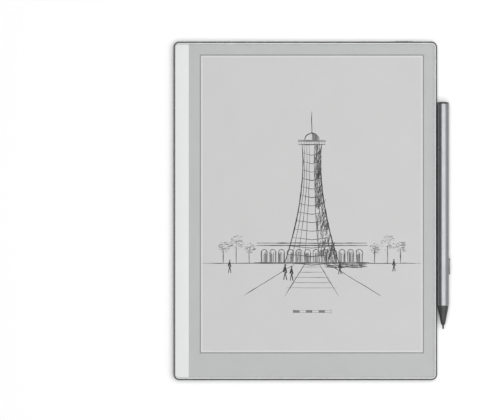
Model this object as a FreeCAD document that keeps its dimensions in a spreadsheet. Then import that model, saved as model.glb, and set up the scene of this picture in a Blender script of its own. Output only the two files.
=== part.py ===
import FreeCAD, Part

# A thin pen notepad with a paper-like screen, and the stylus that its magnets hold along the right side.
# The case lies on its back. X runs across it towards the stylus, Y runs up it towards the power button,
# and Z comes out of the screen. The origin is the middle of the back face. All sizes are in millimetres.

import math
import os
import re

import Sketcher

# Each size that can be set by itself: its name, its value and what it is.
SIZES = (
    # The case
    ("case_width", 183.0, "outer width of the case"),
    ("case_height", 235.0, "outer height of the case"),
    ("corner_round", 4.0, "radius of the four corners, seen from the front"),
    ("edge_round", 1.0, "radius of the frame's outer front and back edges"),
    ("frame_rim", 1.9, "width of the frame's rim at the right, top and bottom"),
    ("spine_rim", 1.2, "width of the frame's rim beside the spine trim"),
    ("spine_width", 10.7, "from the left side of the case to the lens"),
    ("back_ledge", 1.2, "width of the ledge that carries the rear cover"),
    ("lens_ledge", 1.6, "width of the ledge that carries the lens"),
    ("pocket_round", 1.5, "corner radius of the milled pockets"),
    ("seat_gap", 0.1, "gap round the rear cover, the lens and the spine trim"),
    # The screen window, measured from the sides of the case
    ("bezel_left", 19.0, "case side to window, left"),
    ("bezel_right", 9.9, "case side to window, right"),
    ("bezel_top", 9.7, "case side to window, top"),
    ("bezel_bottom", 19.3, "case side to window, bottom"),
    ("touch_margin", 2.0, "touch film hidden under the border"),
    ("panel_margin", 2.5, "display hidden under the border"),
    ("driver_ledge", 8.0, "display below the window, for its drivers"),
    # The layers, from the back to the front
    ("back_wall", 0.60, "thickness of the rear cover"),
    ("back_tape", 0.05, "thickness of the rear cover's tape"),
    ("cavity_depth", 2.10, "room for the battery and the board"),
    ("web_wall", 0.35, "thickness of the frame's web"),
    ("digitizer_thick", 0.30, "thickness of the pen sensor board"),
    ("panel_thick", 0.45, "thickness of the display"),
    ("ink_gap", 0.05, "gap between the display and the touch film"),
    ("touch_thick", 0.15, "thickness of the touch film"),
    ("film_gap", 0.02, "gap on each side of the printed border"),
    ("mask_thick", 0.03, "thickness of the printed border"),
    ("lens_thick", 0.50, "thickness of the lens"),
    ("lens_recess", 0.03, "lens below the rim"),
    ("lens_tape", 0.10, "thickness of the lens tape"),
    # The main board and what is on it
    ("board_edge", 1.5, "gap between the board and the bottom wall"),
    ("board_height", 36.0, "length of the board up the case"),
    ("board_thick", 0.6, "thickness of the board"),
    ("board_side", 2.0, "gap between the board and each speaker"),
    ("boss_high", 0.45, "gap between the board and the web"),
    ("boss_radius", 1.6, "outer radius of a screw boss"),
    ("screw_inset", 4.0, "screw centre to the board's side and lower edge"),
    ("screw_rise", 22.0, "upper screw centre to the board's lower edge"),
    ("screw_radius", 0.7, "radius of a screw's thread"),
    ("screw_gap", 0.05, "radial gap round a screw's thread"),
    ("head_radius", 1.3, "radius of a screw head"),
    ("head_thick", 0.45, "thickness of a screw head"),
    ("drive_radius", 0.5, "radius of the drive recess in a screw head"),
    ("drive_depth", 0.25, "depth of the drive recess"),
    ("thread_skin", 0.15, "web left above a screw"),
    ("shield_high", 0.80, "height of a shield can"),
    ("shield_wall", 0.12, "wall of a shield can"),
    ("chip_high", 0.60, "height of a chip"),
    ("radio_high", 0.78, "height of the wireless module"),
    ("can_round", 0.5, "corner radius of a shield can"),
    ("processor_place", -16.5, "processor can's centre, right of the middle"),
    ("processor_rise", 21.0, "processor can's centre above the board's lower edge"),
    ("processor_can_width", 26.0, "width of the processor can"),
    ("processor_can_depth", 22.0, "size of the processor can up the case"),
    ("processor_size", 14.0, "width and depth of the processor"),
    ("power_place", 25.0, "power can's centre, right of the middle"),
    ("power_rise", 21.0, "power can's centre above the board's lower edge"),
    ("power_can_width", 22.0, "width of the power can"),
    ("power_can_depth", 18.0, "size of the power can up the case"),
    ("memory_place", 4.5, "memory chips' centres, right of the middle"),
    ("memory_rise", 21.0, "middle of the memory chips above the board's lower edge"),
    ("memory_pitch", 13.0, "distance between the memory chips"),
    ("memory_size", 11.0, "width and depth of a memory chip"),
    ("radio_place", -36.0, "wireless module's centre, right of the middle"),
    ("radio_rise", 11.25, "wireless module's centre above the board's lower edge"),
    ("radio_size", 9.0, "width and depth of the wireless module"),
    ("graphite_thick", 0.06, "thickness of the heat spreader"),
    ("graphite_width", 80.0, "width of the heat spreader"),
    ("graphite_inset", 5.0, "heat spreader above the board's lower edge"),
    # The ribbons
    ("flex_thick", 0.15, "thickness of a ribbon lead"),
    ("socket_depth", 3.0, "depth of a ribbon socket"),
    ("slot_gap", 1.0, "gap between a ribbon and its slot in the web"),
    ("display_place", -19.0, "display ribbon's centre, right of the middle"),
    ("display_ribbon", 30.0, "width of the display ribbon"),
    ("touch_place", 13.0, "touch ribbon's centre, right of the middle"),
    ("touch_ribbon", 8.0, "width of the touch ribbon"),
    ("digitizer_place", 25.0, "pen sensor ribbon's centre, right of the middle"),
    ("digitizer_ribbon", 10.0, "width of the pen sensor ribbon"),
    ("ribbon_bend", 1.6, "from the foot of the display to the outside of a ribbon's bend"),
    ("ribbon_lap", 2.0, "ribbon glued over the display's driver ledge"),
    ("ribbon_reach", 6.0, "end of a ribbon above the foot of the display"),
    ("ribbon_rise", 0.05, "ribbon above the back of the pen sensor board"),
    # The battery
    ("battery_width", 104.0, "width of the cell"),
    ("battery_height", 140.0, "length of the cell up the case"),
    ("battery_thick", 1.70, "thickness of the cell"),
    ("battery_tape", 0.08, "thickness of the cell's tape"),
    ("battery_rise", 10.0, "gap between the board and the cell"),
    ("cell_round", 2.0, "corner radius of the cell"),
    ("cell_edge", 0.5, "radius of the cell's edges"),
    ("tape_side", 20.8, "gap between the sides of the cell and its tape"),
    ("tape_end", 6.0, "gap between the ends of the cell and its tape"),
    ("guard_height", 5.0, "width of the guard board"),
    ("guard_width", 44.0, "length of the guard board"),
    ("guard_thick", 1.20, "height of the guard board with its chips"),
    ("lead_width", 10.0, "width of the battery lead"),
    ("lead_board", 5.0, "battery lead that lies over the board"),
    ("lead_guard", 3.5, "battery lead that lies over the guard board"),
    # The charging inlet
    ("usb_offset", 3.1, "inlet centre, right of the middle"),
    ("usb_width", 8.94, "outer width of the shell"),
    ("usb_high", 3.10, "outer height of the shell"),
    ("usb_wall", 0.27, "wall of the shell"),
    ("usb_length", 7.3, "length of the shell"),
    ("usb_recess", 0.2, "shell mouth behind the case's side"),
    ("usb_back", 0.4, "back wall of the shell"),
    ("usb_gap", 0.05, "gap round the shell"),
    ("tongue_width", 6.7, "width of the contact tongue"),
    ("tongue_thick", 0.7, "thickness of the contact tongue"),
    ("tongue_recess", 1.0, "tongue tip behind the shell's mouth"),
    ("tongue_root", 1.6, "length of the tongue's thick root"),
    ("root_gap", 0.1, "gap between the tongue's root and the shell"),
    # Speakers and microphones
    ("speaker_width", 28.0, "width of a speaker"),
    ("speaker_depth", 12.0, "size of a speaker up the case"),
    ("speaker_side", 0.8, "gap between a speaker and the side wall"),
    ("speaker_slack", 0.10, "gap above and below a speaker"),
    ("speaker_round", 1.0, "corner radius of a speaker"),
    ("gasket_thick", 0.6, "thickness of a speaker gasket"),
    ("gasket_width", 20.0, "width of a speaker gasket"),
    ("gasket_frame", 0.4, "width of a gasket's edges"),
    ("sound_radius", 0.5, "radius of a sound hole"),
    ("sound_pitch", 2.0, "distance between sound holes"),
    ("sound_level", 1.7, "height of the sound holes above the back"),
    ("mic_width", 3.5, "width of a microphone"),
    ("mic_depth", 2.7, "size of a microphone up the case"),
    ("mic_high", 0.95, "height of a microphone"),
    ("mic_offset", 13.0, "microphone centre to inlet centre"),
    ("mic_hole", 0.4, "radius of a microphone hole"),
    ("mic_level", 1.45, "height of the microphone holes above the back"),
    # The antennas under the spine trim
    ("antenna_width", 5.0, "width of an antenna strip"),
    ("antenna_length", 34.0, "length of an antenna strip"),
    ("antenna_thick", 0.20, "thickness of an antenna strip"),
    ("antenna_pocket", 0.30, "depth of an antenna's pocket"),
    ("antenna_side", 1.8, "gap between the rim and an antenna"),
    ("antenna_space", 3.0, "half of the distance between the antennas"),
    ("tail_width", 1.5, "width of an antenna's tail"),
    ("tail_reach", 8.0, "length of a tail that lies over the board"),
    ("tail_gap", 0.25, "gap round a tail in its slot"),
    # The power button
    ("button_inset", 22.8, "button centre to the right side of the case"),
    ("button_length", 12.2, "length of the button"),
    ("button_high", 1.4, "width of the button"),
    ("button_level", 1.75, "height of the button's centre above the back"),
    ("button_proud", 0.35, "button above the case's side"),
    ("button_round", 0.6, "corner radius of the button"),
    ("button_bevel", 0.15, "rounding of the button's outer edge"),
    ("button_gap", 0.08, "gap round the button in its slot"),
    ("button_wall", 1.5, "wall in front of the button's flange"),
    ("button_flange", 0.6, "thickness of the flange"),
    ("flange_reach", 0.8, "flange beyond each end of the button"),
    ("flange_lip", 0.2, "flange above and below the button"),
    ("flange_gap", 0.05, "gap between the flange and the wall"),
    ("button_travel", 0.30, "travel of the button"),
    ("switch_gap", 0.08, "gap left when the button is pressed"),
    ("switch_width", 4.0, "width of the switch"),
    ("switch_depth", 2.0, "depth of the switch"),
    ("switch_high", 1.6, "height of the switch"),
    ("column_width", 3.0, "width of the button's ribbon"),
    ("arm_gap", 0.3, "gap between the button's ribbon and the top wall"),
    ("column_gap", 2.0, "gap between the cell and the button's ribbon"),
    ("foot_rise", 4.0, "ribbon's foot below the top of the board"),
    ("foot_reach", 42.0, "left end of the ribbon's foot, right of the middle"),
    # The magnets in the case
    ("magnet_cover", 1.5, "wall outside a magnet"),
    ("magnet_thick", 1.5, "thickness of a magnet"),
    ("magnet_high", 1.6, "height of a magnet"),
    ("magnet_length", 14.0, "length of a magnet"),
    ("magnet_level", 1.7, "height of the magnets' centres above the back"),
    ("magnet_gap", 0.05, "gap round a magnet"),
    ("magnet_low", 52.1, "lower magnet, from the stylus tip"),
    ("magnet_up", 112.1, "upper magnet, from the stylus tip"),
    # The stylus; distances along it are from its tip
    ("stylus_top", 75.7, "end of the stylus above the middle of the case"),
    ("stylus_gap", 0.1, "gap between the case and the stylus"),
    ("stylus_radius", 4.2, "outer radius of the barrel"),
    ("flat_depth", 0.2, "depth of the barrel's flat"),
    ("barrel_bore", 3.4, "inner radius of the barrel"),
    ("barrel_length", 140.1, "length of the barrel"),
    ("barrel_bevel", 0.3, "bevel at each end of the barrel"),
    ("fit_gap", 0.05, "radial gap of the cap and the cone in the barrel"),
    ("cap_thick", 1.3, "length of the cap outside the barrel"),
    ("cap_radius", 4.0, "radius of the cap"),
    ("cap_round", 0.5, "rounding of the cap's edge"),
    ("cap_plug", 3.0, "length of the cap inside the barrel"),
    ("cone_length", 13.4, "length of the cone outside the barrel"),
    ("cone_back", 3.85, "radius of the cone at the barrel"),
    ("cone_waist", 3.5, "radius where the taper begins"),
    ("cone_neck", 2.6, "distance from the barrel to the taper"),
    ("cone_lip", 1.65, "radius where the taper ends"),
    ("cone_front", 1.1, "radius of the cone's mouth"),
    ("lip_length", 1.5, "length of the rounded lip"),
    ("cone_spigot", 5.0, "length of the cone inside the barrel"),
    ("nib_reach", 3.0, "nib outside the cone"),
    ("nib_radius", 0.6, "radius of the nib"),
    ("nib_gap", 0.08, "radial gap round the nib"),
    ("nib_length", 28.0, "length of the nib"),
    ("nib_taper", 1.4, "length of the nib's rounded end"),
    ("nib_travel", 0.5, "travel of the nib"),
    ("ferrite_start", 12.8, "tip to ferrite core"),
    ("ferrite_length", 12.0, "length of the ferrite core"),
    ("ferrite_radius", 1.8, "outer radius of the ferrite core"),
    ("ferrite_bore", 0.85, "inner radius of the ferrite core"),
    ("ferrite_gap", 0.1, "radial gap round the core in the cone"),
    ("coil_start", 17.0, "tip to coil"),
    ("coil_length", 6.5, "length of the coil"),
    ("spigot_wall", 0.65, "wall of the cone's spigot"),
    ("coil_room", 0.1, "radial gap between the coil and the spigot"),
    ("coil_gap", 0.05, "radial gap between the coil and the core"),
    ("holder_gap", 0.2, "gap between the core and the nib holder"),
    ("holder_length", 6.0, "length of the nib holder"),
    ("holder_radius", 1.5, "radius of the nib holder"),
    ("sensor_gap", 0.1, "gap left when the nib is pressed"),
    ("sensor_length", 3.0, "length of the pressure sensor"),
    ("sensor_room", 0.2, "radial gap between the pressure sensor and the inner frame"),
    ("trough_start", 24.0, "tip to the inner frame"),
    ("trough_end", 5.5, "inner frame to the end of the stylus"),
    ("trough_gap", 0.1, "radial gap between the barrel and the inner frame"),
    ("trough_wall", 0.5, "wall of the inner frame"),
    ("strip_start", 36.0, "tip to the stylus board"),
    ("strip_length", 88.0, "length of the stylus board"),
    ("strip_inset", 0.27, "stylus board inside the outer edge of the inner frame"),
    ("strip_thick", 0.6, "thickness of the stylus board"),
    ("strip_drop", 0.9, "underside of the stylus board below the axis"),
    # The side key of the stylus
    ("key_along", 43.6, "tip to the key's centre"),
    ("key_length", 11.3, "length of the key"),
    ("key_width", 2.6, "width of the key"),
    ("key_proud", 0.6, "key above the barrel"),
    ("key_round", 1.2, "radius of the key's ends"),
    ("key_bevel", 0.3, "rounding of the key's outer edge"),
    ("key_gap", 0.08, "gap round the key in its slot"),
    ("key_flange", 0.4, "thickness of the key's flange"),
    ("key_slack", 0.2, "gap between the flange's corners and the barrel"),
    ("key_reach", 0.9, "flange beyond each end of the key"),
    ("key_lip", 0.2, "flange beyond each side of the key"),
    ("key_travel", 0.4, "travel of the key"),
    ("key_room", 1.2, "gap round the key's flange inside"),
    ("key_switch_gap", 0.12, "gap left when the key is pressed"),
    ("key_switch_depth", 1.5, "depth of the key's switch"),
    ("key_switch_length", 3.2, "length of the key's switch"),
    ("key_switch_high", 1.2, "height of the key's switch"),
    ("pen_magnet", 1.6, "width and height of a magnet in the stylus"),
    ("pen_magnet_gap", 0.14, "gap between a magnet's corner and the barrel"),
)

# Each place that follows from the sizes: its name, its formula and what it is.
PLACES = (
    ("half_width", "case_width / 2", "right side of the case"),
    ("half_height", "case_height / 2", "top side of the case"),
    ("bay_left", "spine_rim - half_width", "inside of the left rim"),
    ("bay_right", "half_width - frame_rim", "inside of the right rim"),
    ("bay_high", "half_height - frame_rim", "inside of the top rim"),
    ("bay_round", "corner_round - frame_rim", "corner radius inside the rim"),
    ("plate_round", "bay_round - seat_gap", "corner radius of what sits in the rim"),
    ("spine_edge", "spine_width - half_width", "between the spine trim and the lens"),
    ("cavity_right", "bay_right - back_ledge", "right wall of the cavity"),
    ("cavity_high", "bay_high - back_ledge", "top wall of the cavity"),
    ("window_left", "bezel_left - half_width", "left side of the window"),
    ("window_right", "half_width - bezel_right", "right side of the window"),
    ("window_low", "bezel_bottom - half_height", "bottom of the window"),
    ("window_high", "half_height - bezel_top", "top of the window"),
    ("panel_left", "window_left - panel_margin", "left side of the display"),
    ("panel_right", "window_right + panel_margin", "right side of the display"),
    ("panel_foot", "window_low - driver_ledge", "bottom of the display"),
    ("panel_head", "window_high + panel_margin", "top of the display"),
    ("plate_seat", "back_wall + back_tape", "start of the cavity"),
    ("web_low", "back_wall + cavity_depth", "back of the web"),
    ("web_top", "web_low + web_wall", "front of the web"),
    ("panel_low", "web_top + digitizer_thick", "back of the display"),
    ("panel_top", "panel_low + panel_thick", "front of the display"),
    ("touch_low", "panel_top + ink_gap", "back of the touch film"),
    ("touch_top", "touch_low + touch_thick", "front of the touch film"),
    ("mask_low", "touch_top + film_gap", "back of the printed border"),
    ("lens_low", "mask_low + mask_thick + film_gap", "back of the lens"),
    ("lens_top", "lens_low + lens_thick", "front of the lens"),
    ("case_depth", "lens_top + lens_recess", "thickness of the case"),
    ("ledge_top", "mask_low - lens_tape", "ledge under the lens tape"),
    ("ribbon_back", "panel_foot - ribbon_bend", "outside of a ribbon's bend"),
    ("ribbon_end", "panel_foot + ribbon_reach", "end of a ribbon on its socket"),
    ("board_low", "board_edge - cavity_high", "lower edge of the board"),
    ("board_up", "board_low + board_height", "upper edge of the board"),
    ("board_half", "cavity_right - speaker_side - speaker_width - board_side", "half of the board's width"),
    ("board_face", "web_low - boss_high", "front face of the board"),
    ("board_back", "board_face - board_thick", "back face of the board"),
    ("screw_side", "board_half - screw_inset", "distance of the screws from the middle"),
    ("flex_low", "web_low - flex_thick", "back of a ribbon that lies on the web"),
    ("battery_low", "board_up + battery_rise", "lower end of the cell"),
    ("battery_up", "battery_low + battery_height", "upper end of the cell"),
    ("battery_face", "web_low - battery_tape", "front of the cell"),
    ("usb_level", "case_depth / 2", "height of the inlet's centre"),
    ("usb_mouth", "usb_recess - half_height", "mouth of the shell"),
    ("usb_end", "usb_mouth + usb_length", "back end of the shell"),
    ("speaker_middle", "cavity_right - speaker_side - speaker_width / 2", "speaker centre to the middle"),
    ("button_middle", "half_width - button_inset", "centre of the button"),
    ("flange_face", "half_height - button_wall - flange_gap", "outer face of the flange"),
    ("switch_face", "flange_face - button_flange - button_travel - switch_gap", "front of the switch"),
    ("column_left", "battery_width / 2 + column_gap", "left side of the button's ribbon"),
    ("antenna_left", "bay_left + antenna_side", "left side of the antennas"),
    ("antenna_middle", "board_up + antenna_space", "between the antennas"),
    ("tail_left", "antenna_left + antenna_width / 2", "left side of the antenna tails"),
    ("barrel_start", "nib_reach + cone_length", "tip to barrel"),
    ("barrel_end", "barrel_start + barrel_length", "tip to the barrel's upper end"),
    ("stylus_length", "barrel_end + cap_thick", "length of the stylus"),
    ("stylus_tip", "stylus_top - stylus_length", "tip of the nib"),
    ("stylus_side", "half_width + stylus_gap + stylus_radius - flat_depth", "axis of the stylus"),
    ("stylus_level", "stylus_radius", "axis of the stylus above the table"),
    ("nib_bore", "nib_radius + nib_gap", "radius of the cone's bore"),
    ("plug_radius", "barrel_bore - fit_gap", "radius of the cap's plug and the cone's spigot"),
    ("trough_radius", "barrel_bore - trough_gap", "outer radius of the inner frame"),
    ("trough_bore", "trough_radius - trough_wall", "inner radius of the inner frame"),
    ("coil_radius", "plug_radius - spigot_wall - coil_room", "outer radius of the coil"),
    ("sensor_radius", "trough_bore - sensor_room", "radius of the pressure sensor"),
    ("holder_start", "ferrite_start + ferrite_length + holder_gap", "tip to nib holder"),
    ("sensor_start", "holder_start + holder_length + nib_travel + sensor_gap", "tip to pressure sensor"),
    ("strip_top", "strip_thick - strip_drop", "front of the stylus board, from the axis"),
    ("strip_half", "sqrt(trough_radius ^ 2 - strip_drop ^ 2) - strip_inset", "half of the stylus board"),
    ("magnet_side", "sqrt(barrel_bore ^ 2 - (strip_top + pen_magnet) ^ 2) - pen_magnet_gap", "magnet face"),
    ("key_seat", "sqrt(barrel_bore ^ 2 - (key_width / 2 + key_lip) ^ 2) - key_slack", "flange face"),
    ("key_inner", "key_seat - key_flange", "inner face of the key's flange"),
    ("key_stop", "key_inner - key_travel - key_switch_gap", "face of the key's switch"),
)

AXES = "xyz"
PLANES = {"x": "YZ_Plane", "y": "XZ_Plane", "z": "XY_Plane"}
WORD = re.compile(r"[a-z]\w*")
OVERCUT = 0.5  # a cutting tool's reach past an open face
PARTS_FOLDER = "parts"

doc = FreeCAD.newDocument("Notepad")
home = {}
sub_parts = []


def rule(text):
    """Put each named value's sheet before its name, which makes the text an expression."""
    return WORD.sub(lambda word: home.get(word.group(), word.group()), str(text))


def fill_sheet(name, rows):
    """Write one named value on each row, with what it is beside it."""
    sheet = doc.addObject("Spreadsheet::Sheet", name)
    for row, (alias, content, note) in enumerate(rows, start=1):
        sheet.set(f"A{row}", alias)
        sheet.set(f"B{row}", str(content))
        sheet.set(f"C{row}", note)
        sheet.setAlias(f"B{row}", alias)
    return sheet


def is_failed(item):
    return any(word in ("Invalid", "Error") for word in item.State)


def keep(item):
    """Count an object as a sub-part, to be written to a file of its own."""
    sub_parts.append(item)
    return item


def set_place(item, x=0, y=0, z=0):
    for axis, value in zip(AXES, (x, y, z)):
        item.setExpression(f"Placement.Base.{axis}", rule(value))


def block(label, x, y, z):
    """A box between a low and a high value on each axis."""
    item = doc.addObject("Part::Box", label)
    for side, (low, high) in zip(("Length", "Width", "Height"), (x, y, z)):
        item.setExpression(side, rule(f"({high}) - ({low})"))
    set_place(item, x[0], y[0], z[0])
    return item


def rod(label, along, x, y, z, radius):
    """A cylinder along one axis, which has a low and a high value; the other two give its centre."""
    item = doc.addObject("Part::Cylinder", label)
    turn = {
        "x": FreeCAD.Rotation(FreeCAD.Vector(0, 1, 0), 90),
        "y": FreeCAD.Rotation(FreeCAD.Vector(1, 0, 0), -90),
        "z": FreeCAD.Rotation(),
    }
    place = {"x": x, "y": y, "z": z}
    low, high = place[along]
    place[along] = low
    item.Placement = FreeCAD.Placement(FreeCAD.Vector(), turn[along])
    item.setExpression("Radius", rule(radius))
    item.setExpression("Height", rule(f"({high}) - ({low})"))
    set_place(item, **place)
    return item


def fuse(label, pieces):
    item = doc.addObject("Part::MultiFuse", label)
    item.Shapes = pieces
    return item


def group(label, pieces):
    """Separate solids of one kind, kept together as one sub-part."""
    item = doc.addObject("Part::Compound", label)
    item.Links = pieces
    return item


def cut(label, base, tools):
    item = doc.addObject("Part::Cut", label)
    item.Base = base
    item.Tool = tools[0] if len(tools) == 1 else fuse(f"{label}_tools", tools)
    return item


def start_body(label, along):
    """A body with an empty sketch on the plane that the axis is normal to."""
    body = doc.addObject("PartDesign::Body", label)
    plane = next(item for item in body.Origin.OriginFeatures if item.Role == PLANES[along])
    sketch = body.newObject("Sketcher::SketchObject", f"{label}_sketch")
    sketch.AttachmentSupport = [(plane, "")]
    sketch.MapMode = "FlatFace"
    return body, sketch


def draw_outline(sketch, points):
    """Join the points by straight lines, each point held at its own two values."""
    count = len(points)
    angles = [math.tau * index / count for index in range(count)]
    ring = [FreeCAD.Vector(math.cos(angle), math.sin(angle), 0) for angle in angles]
    sketch.addGeometry([Part.LineSegment(ring[i], ring[(i + 1) % count]) for i in range(count)], False)
    limits = [Sketcher.Constraint("Coincident", i, 2, (i + 1) % count, 1) for i in range(count)]
    for index, point in enumerate(ring):
        limits.append(Sketcher.Constraint("DistanceX", -1, 1, index, 1, point.x))
        limits.append(Sketcher.Constraint("DistanceY", -1, 1, index, 1, point.y))
    sketch.addConstraint(limits)
    for index, (across, up) in enumerate(points):
        sketch.setExpression(f"Constraints[{count + 2 * index}]", rule(across))
        sketch.setExpression(f"Constraints[{count + 2 * index + 1}]", rule(up))


def round_edges(body, feature, names, radius):
    fillet = body.newObject("PartDesign::Fillet", f"{body.Name}_round")
    fillet.Base = (feature, names)
    fillet.setExpression("Radius", rule(radius))
    body.Tip = fillet
    doc.recompute()
    return fillet


def edges_along(shape, along):
    """The straight edges that run along an axis."""
    index = AXES.index(along)
    names = []
    for number, edge in enumerate(shape.Edges, start=1):
        run = edge.Vertexes[-1].Point - edge.Vertexes[0].Point
        if abs(abs(run[index]) - edge.Length) < 1e-6 and edge.Length > 1e-6:
            names.append(f"Edge{number}")
    return names


def edges_at(shape, along, high):
    """The edges round the low or the high end of a solid."""
    index = AXES.index(along)
    box = shape.BoundBox
    ends = ((box.XMin, box.XMax), (box.YMin, box.YMax), (box.ZMin, box.ZMax))
    level = ends[index][1 if high else 0]
    names = []
    for number, edge in enumerate(shape.Edges, start=1):
        span = edge.BoundBox
        sides = ((span.XMin, span.XMax), (span.YMin, span.YMax), (span.ZMin, span.ZMax))[index]
        if max(abs(side - level) for side in sides) < 1e-4:
            names.append(f"Edge{number}")
    return names


def slab(label, x, y, z, along="z", corner=None, low_edge=None, high_edge=None):
    """A padded rectangle; its corners and the edges of its two ends can be rounded."""
    spans = {"x": x, "y": y, "z": z}
    body, sketch = start_body(label, along)
    across, up = [axis for axis in AXES if axis != along]
    (left, right), (low, high) = spans[across], spans[up]
    draw_outline(sketch, ((left, low), (right, low), (right, high), (left, high)))
    pad = body.newObject("PartDesign::Pad", f"{label}_pad")
    pad.Profile = sketch
    near, far = spans[along]
    pad.setExpression("Length", rule(f"({far}) - ({near})"))
    # The plane across Y faces towards -Y, so a pad on it starts from its high end.
    set_place(body, **{along: far if along == "y" else near})
    doc.recompute()
    feature = pad
    if corner is not None:
        feature = round_edges(body, feature, edges_along(feature.Shape, along), corner)
    if low_edge is not None:
        feature = round_edges(body, feature, edges_at(feature.Shape, along, False), low_edge)
    if high_edge is not None:
        feature = round_edges(body, feature, edges_at(feature.Shape, along, True), high_edge)
    return body


def fold(label, x, points):
    """A ribbon whose side view is an outline across Y and Z, padded along X."""
    body, sketch = start_body(label, "x")
    draw_outline(sketch, points)
    pad = body.newObject("PartDesign::Pad", f"{label}_pad")
    pad.Profile = sketch
    pad.setExpression("Length", rule(f"({x[1]}) - ({x[0]})"))
    set_place(body, x=x[0])
    return body


def turned(label, points):
    """A solid turned round the stylus axis; each point is a radius and a distance from the tip."""
    body, sketch = start_body(label, "z")
    draw_outline(sketch, points)
    revolution = body.newObject("PartDesign::Revolution", f"{label}_turn")
    revolution.Profile = sketch
    revolution.ReferenceAxis = (sketch, ["V_Axis"])
    revolution.Angle = 360
    set_place(body, "stylus_side", "stylus_tip", "stylus_level")
    doc.recompute()
    return body


def about(middle, size):
    """The low and the high value of a size laid evenly about its middle."""
    return f"{middle} - ({size}) / 2", f"{middle} + ({size}) / 2"


def ring(label, plate, x, y):
    """A plate with a rectangular opening."""
    hole = block(f"{label}_hole", x, y, ("0", "case_depth"))
    return cut(label, plate, [hole])


def front_piece(label, x, z):
    """What lies between two X values of the rounded plate that would fill the bay inside the rim."""
    plate = slab(
        f"{label}_blank",
        ("bay_left + seat_gap", "bay_right - seat_gap"),
        ("seat_gap - bay_high", "bay_high - seat_gap"),
        z,
        corner="plate_round",
    )
    item = doc.addObject("Part::Common", label)
    item.Base = plate
    item.Tool = block(f"{label}_span", x, ("-half_height", "half_height"), ("0", "case_depth"))
    return item


def screw_places():
    """The centres of the four board screws."""
    for side in ("-screw_side", "screw_side"):
        for up in ("board_low + screw_inset", "board_low + screw_rise"):
            yield side, up


def ribbons():
    """The three screen ribbons: name, sides, start on its layer and that layer's height."""
    yield "display_flex", about("display_place", "display_ribbon"), "panel_foot + ribbon_lap", "panel_top"
    yield "touch_flex", about("touch_place", "touch_ribbon"), "window_low - touch_margin", "touch_low"
    digitizer = about("digitizer_place", "digitizer_ribbon")
    yield "digitizer_flex", digitizer, "panel_foot", "web_top + ribbon_rise"


def make_frame():
    """The metal chassis: a rounded wall with a web across it, a bay for the screen and a cavity behind."""
    blank = slab(
        "frame_blank",
        ("-half_width", "half_width"),
        ("-half_height", "half_height"),
        ("0", "case_depth"),
        corner="corner_round",
        low_edge="edge_round",
        high_edge="edge_round",
    )
    tools = [
        slab(
            "lens_bay",
            ("bay_left", "bay_right"),
            ("-bay_high", "bay_high"),
            ("ledge_top", f"case_depth + {OVERCUT}"),
            corner="bay_round",
        ),
        slab(
            "screen_bay",
            ("spine_edge + lens_ledge", "bay_right - lens_ledge"),
            ("lens_ledge - bay_high", "bay_high - lens_ledge"),
            ("web_top", f"ledge_top + {OVERCUT}"),
            corner="pocket_round",
        ),
        slab(
            "plate_bay",
            ("-bay_right", "bay_right"),
            ("-bay_high", "bay_high"),
            (f"-{OVERCUT}", "plate_seat"),
            corner="bay_round",
        ),
        slab(
            "cavity",
            ("-cavity_right", "cavity_right"),
            ("-cavity_high", "cavity_high"),
            (f"plate_seat - {OVERCUT}", "web_low"),
            corner="pocket_round",
        ),
    ]
    tools += ribbon_slots() + inlet_cuts() + button_cuts() + sound_holes() + magnet_pockets()
    tools += antenna_cuts()
    shell = cut("frame_shell", blank, tools)
    pieces = [shell]
    bores = []
    for number, (side, up) in enumerate(screw_places()):
        span = ("board_face", "web_low + web_wall / 2")
        pieces.append(rod(f"boss_{number}", "z", side, up, span, "boss_radius"))
        bore = (f"board_face - {OVERCUT}", "web_top - thread_skin")
        bores.append(rod(f"boss_bore_{number}", "z", side, up, bore, "screw_radius + screw_gap"))
    keep(cut("mid_frame", fuse("frame_with_bosses", pieces), bores))


def ribbon_slots():
    """Slots in the web, one for each screen ribbon."""
    slots = []
    for name, sides, _, _ in ribbons():
        slots.append(
            block(
                f"{name}_slot",
                (f"{sides[0]} - slot_gap", f"{sides[1]} + slot_gap"),
                ("ribbon_back - slot_gap", "ribbon_back + flex_thick + slot_gap"),
                (f"web_low - {OVERCUT}", f"web_top + {OVERCUT}"),
            )
        )
    return slots


def inlet_cuts():
    """The hole in the bottom wall for the charging inlet, and the pocket behind it."""
    mouth = slab(
        "inlet_hole",
        about("usb_offset", "usb_width + 2 * usb_gap"),
        (f"-half_height - {OVERCUT}", f"-bay_high + {OVERCUT}"),
        about("usb_level", "usb_high + 2 * usb_gap"),
        along="y",
        corner="usb_high / 2 - usb_gap",
    )
    pocket = block(
        "inlet_pocket",
        about("usb_offset", "usb_width + 2 * usb_gap"),
        ("-bay_high", "usb_end + usb_gap"),
        (f"plate_seat - {OVERCUT}", "ledge_top"),
    )
    return [mouth, pocket]


def button_cuts():
    """The slot in the top wall for the power button, and the recess for its flange."""
    slot = slab(
        "button_slot",
        about("button_middle", "button_length + 2 * button_gap"),
        (f"half_height - button_wall - {OVERCUT}", f"half_height + {OVERCUT}"),
        about("button_level", "button_high + 2 * button_gap"),
        along="y",
        corner="button_round + button_gap",
    )
    recess = block(
        "flange_recess",
        about("button_middle", "button_length + 2 * (flange_reach + button_gap)"),
        (f"cavity_high - {OVERCUT}", "half_height - button_wall"),
        ("plate_seat", "web_low"),
    )
    return [slot, recess]


def sound_holes():
    """Two rows of holes for the speakers and one hole for each microphone, through the bottom wall."""
    through = (f"-half_height - {OVERCUT}", f"-cavity_high + {OVERCUT}")
    holes = []
    for side in ("-", ""):
        for number in range(8):
            along = f"{side}speaker_middle + ({number} - 3.5) * sound_pitch"
            holes.append(rod("sound_hole", "y", along, through, "sound_level", "sound_radius"))
    for side in ("-", "+"):
        centre = f"usb_offset {side} mic_offset"
        holes.append(rod("microphone_hole", "y", centre, through, "mic_level", "mic_hole"))
    return holes


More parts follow.
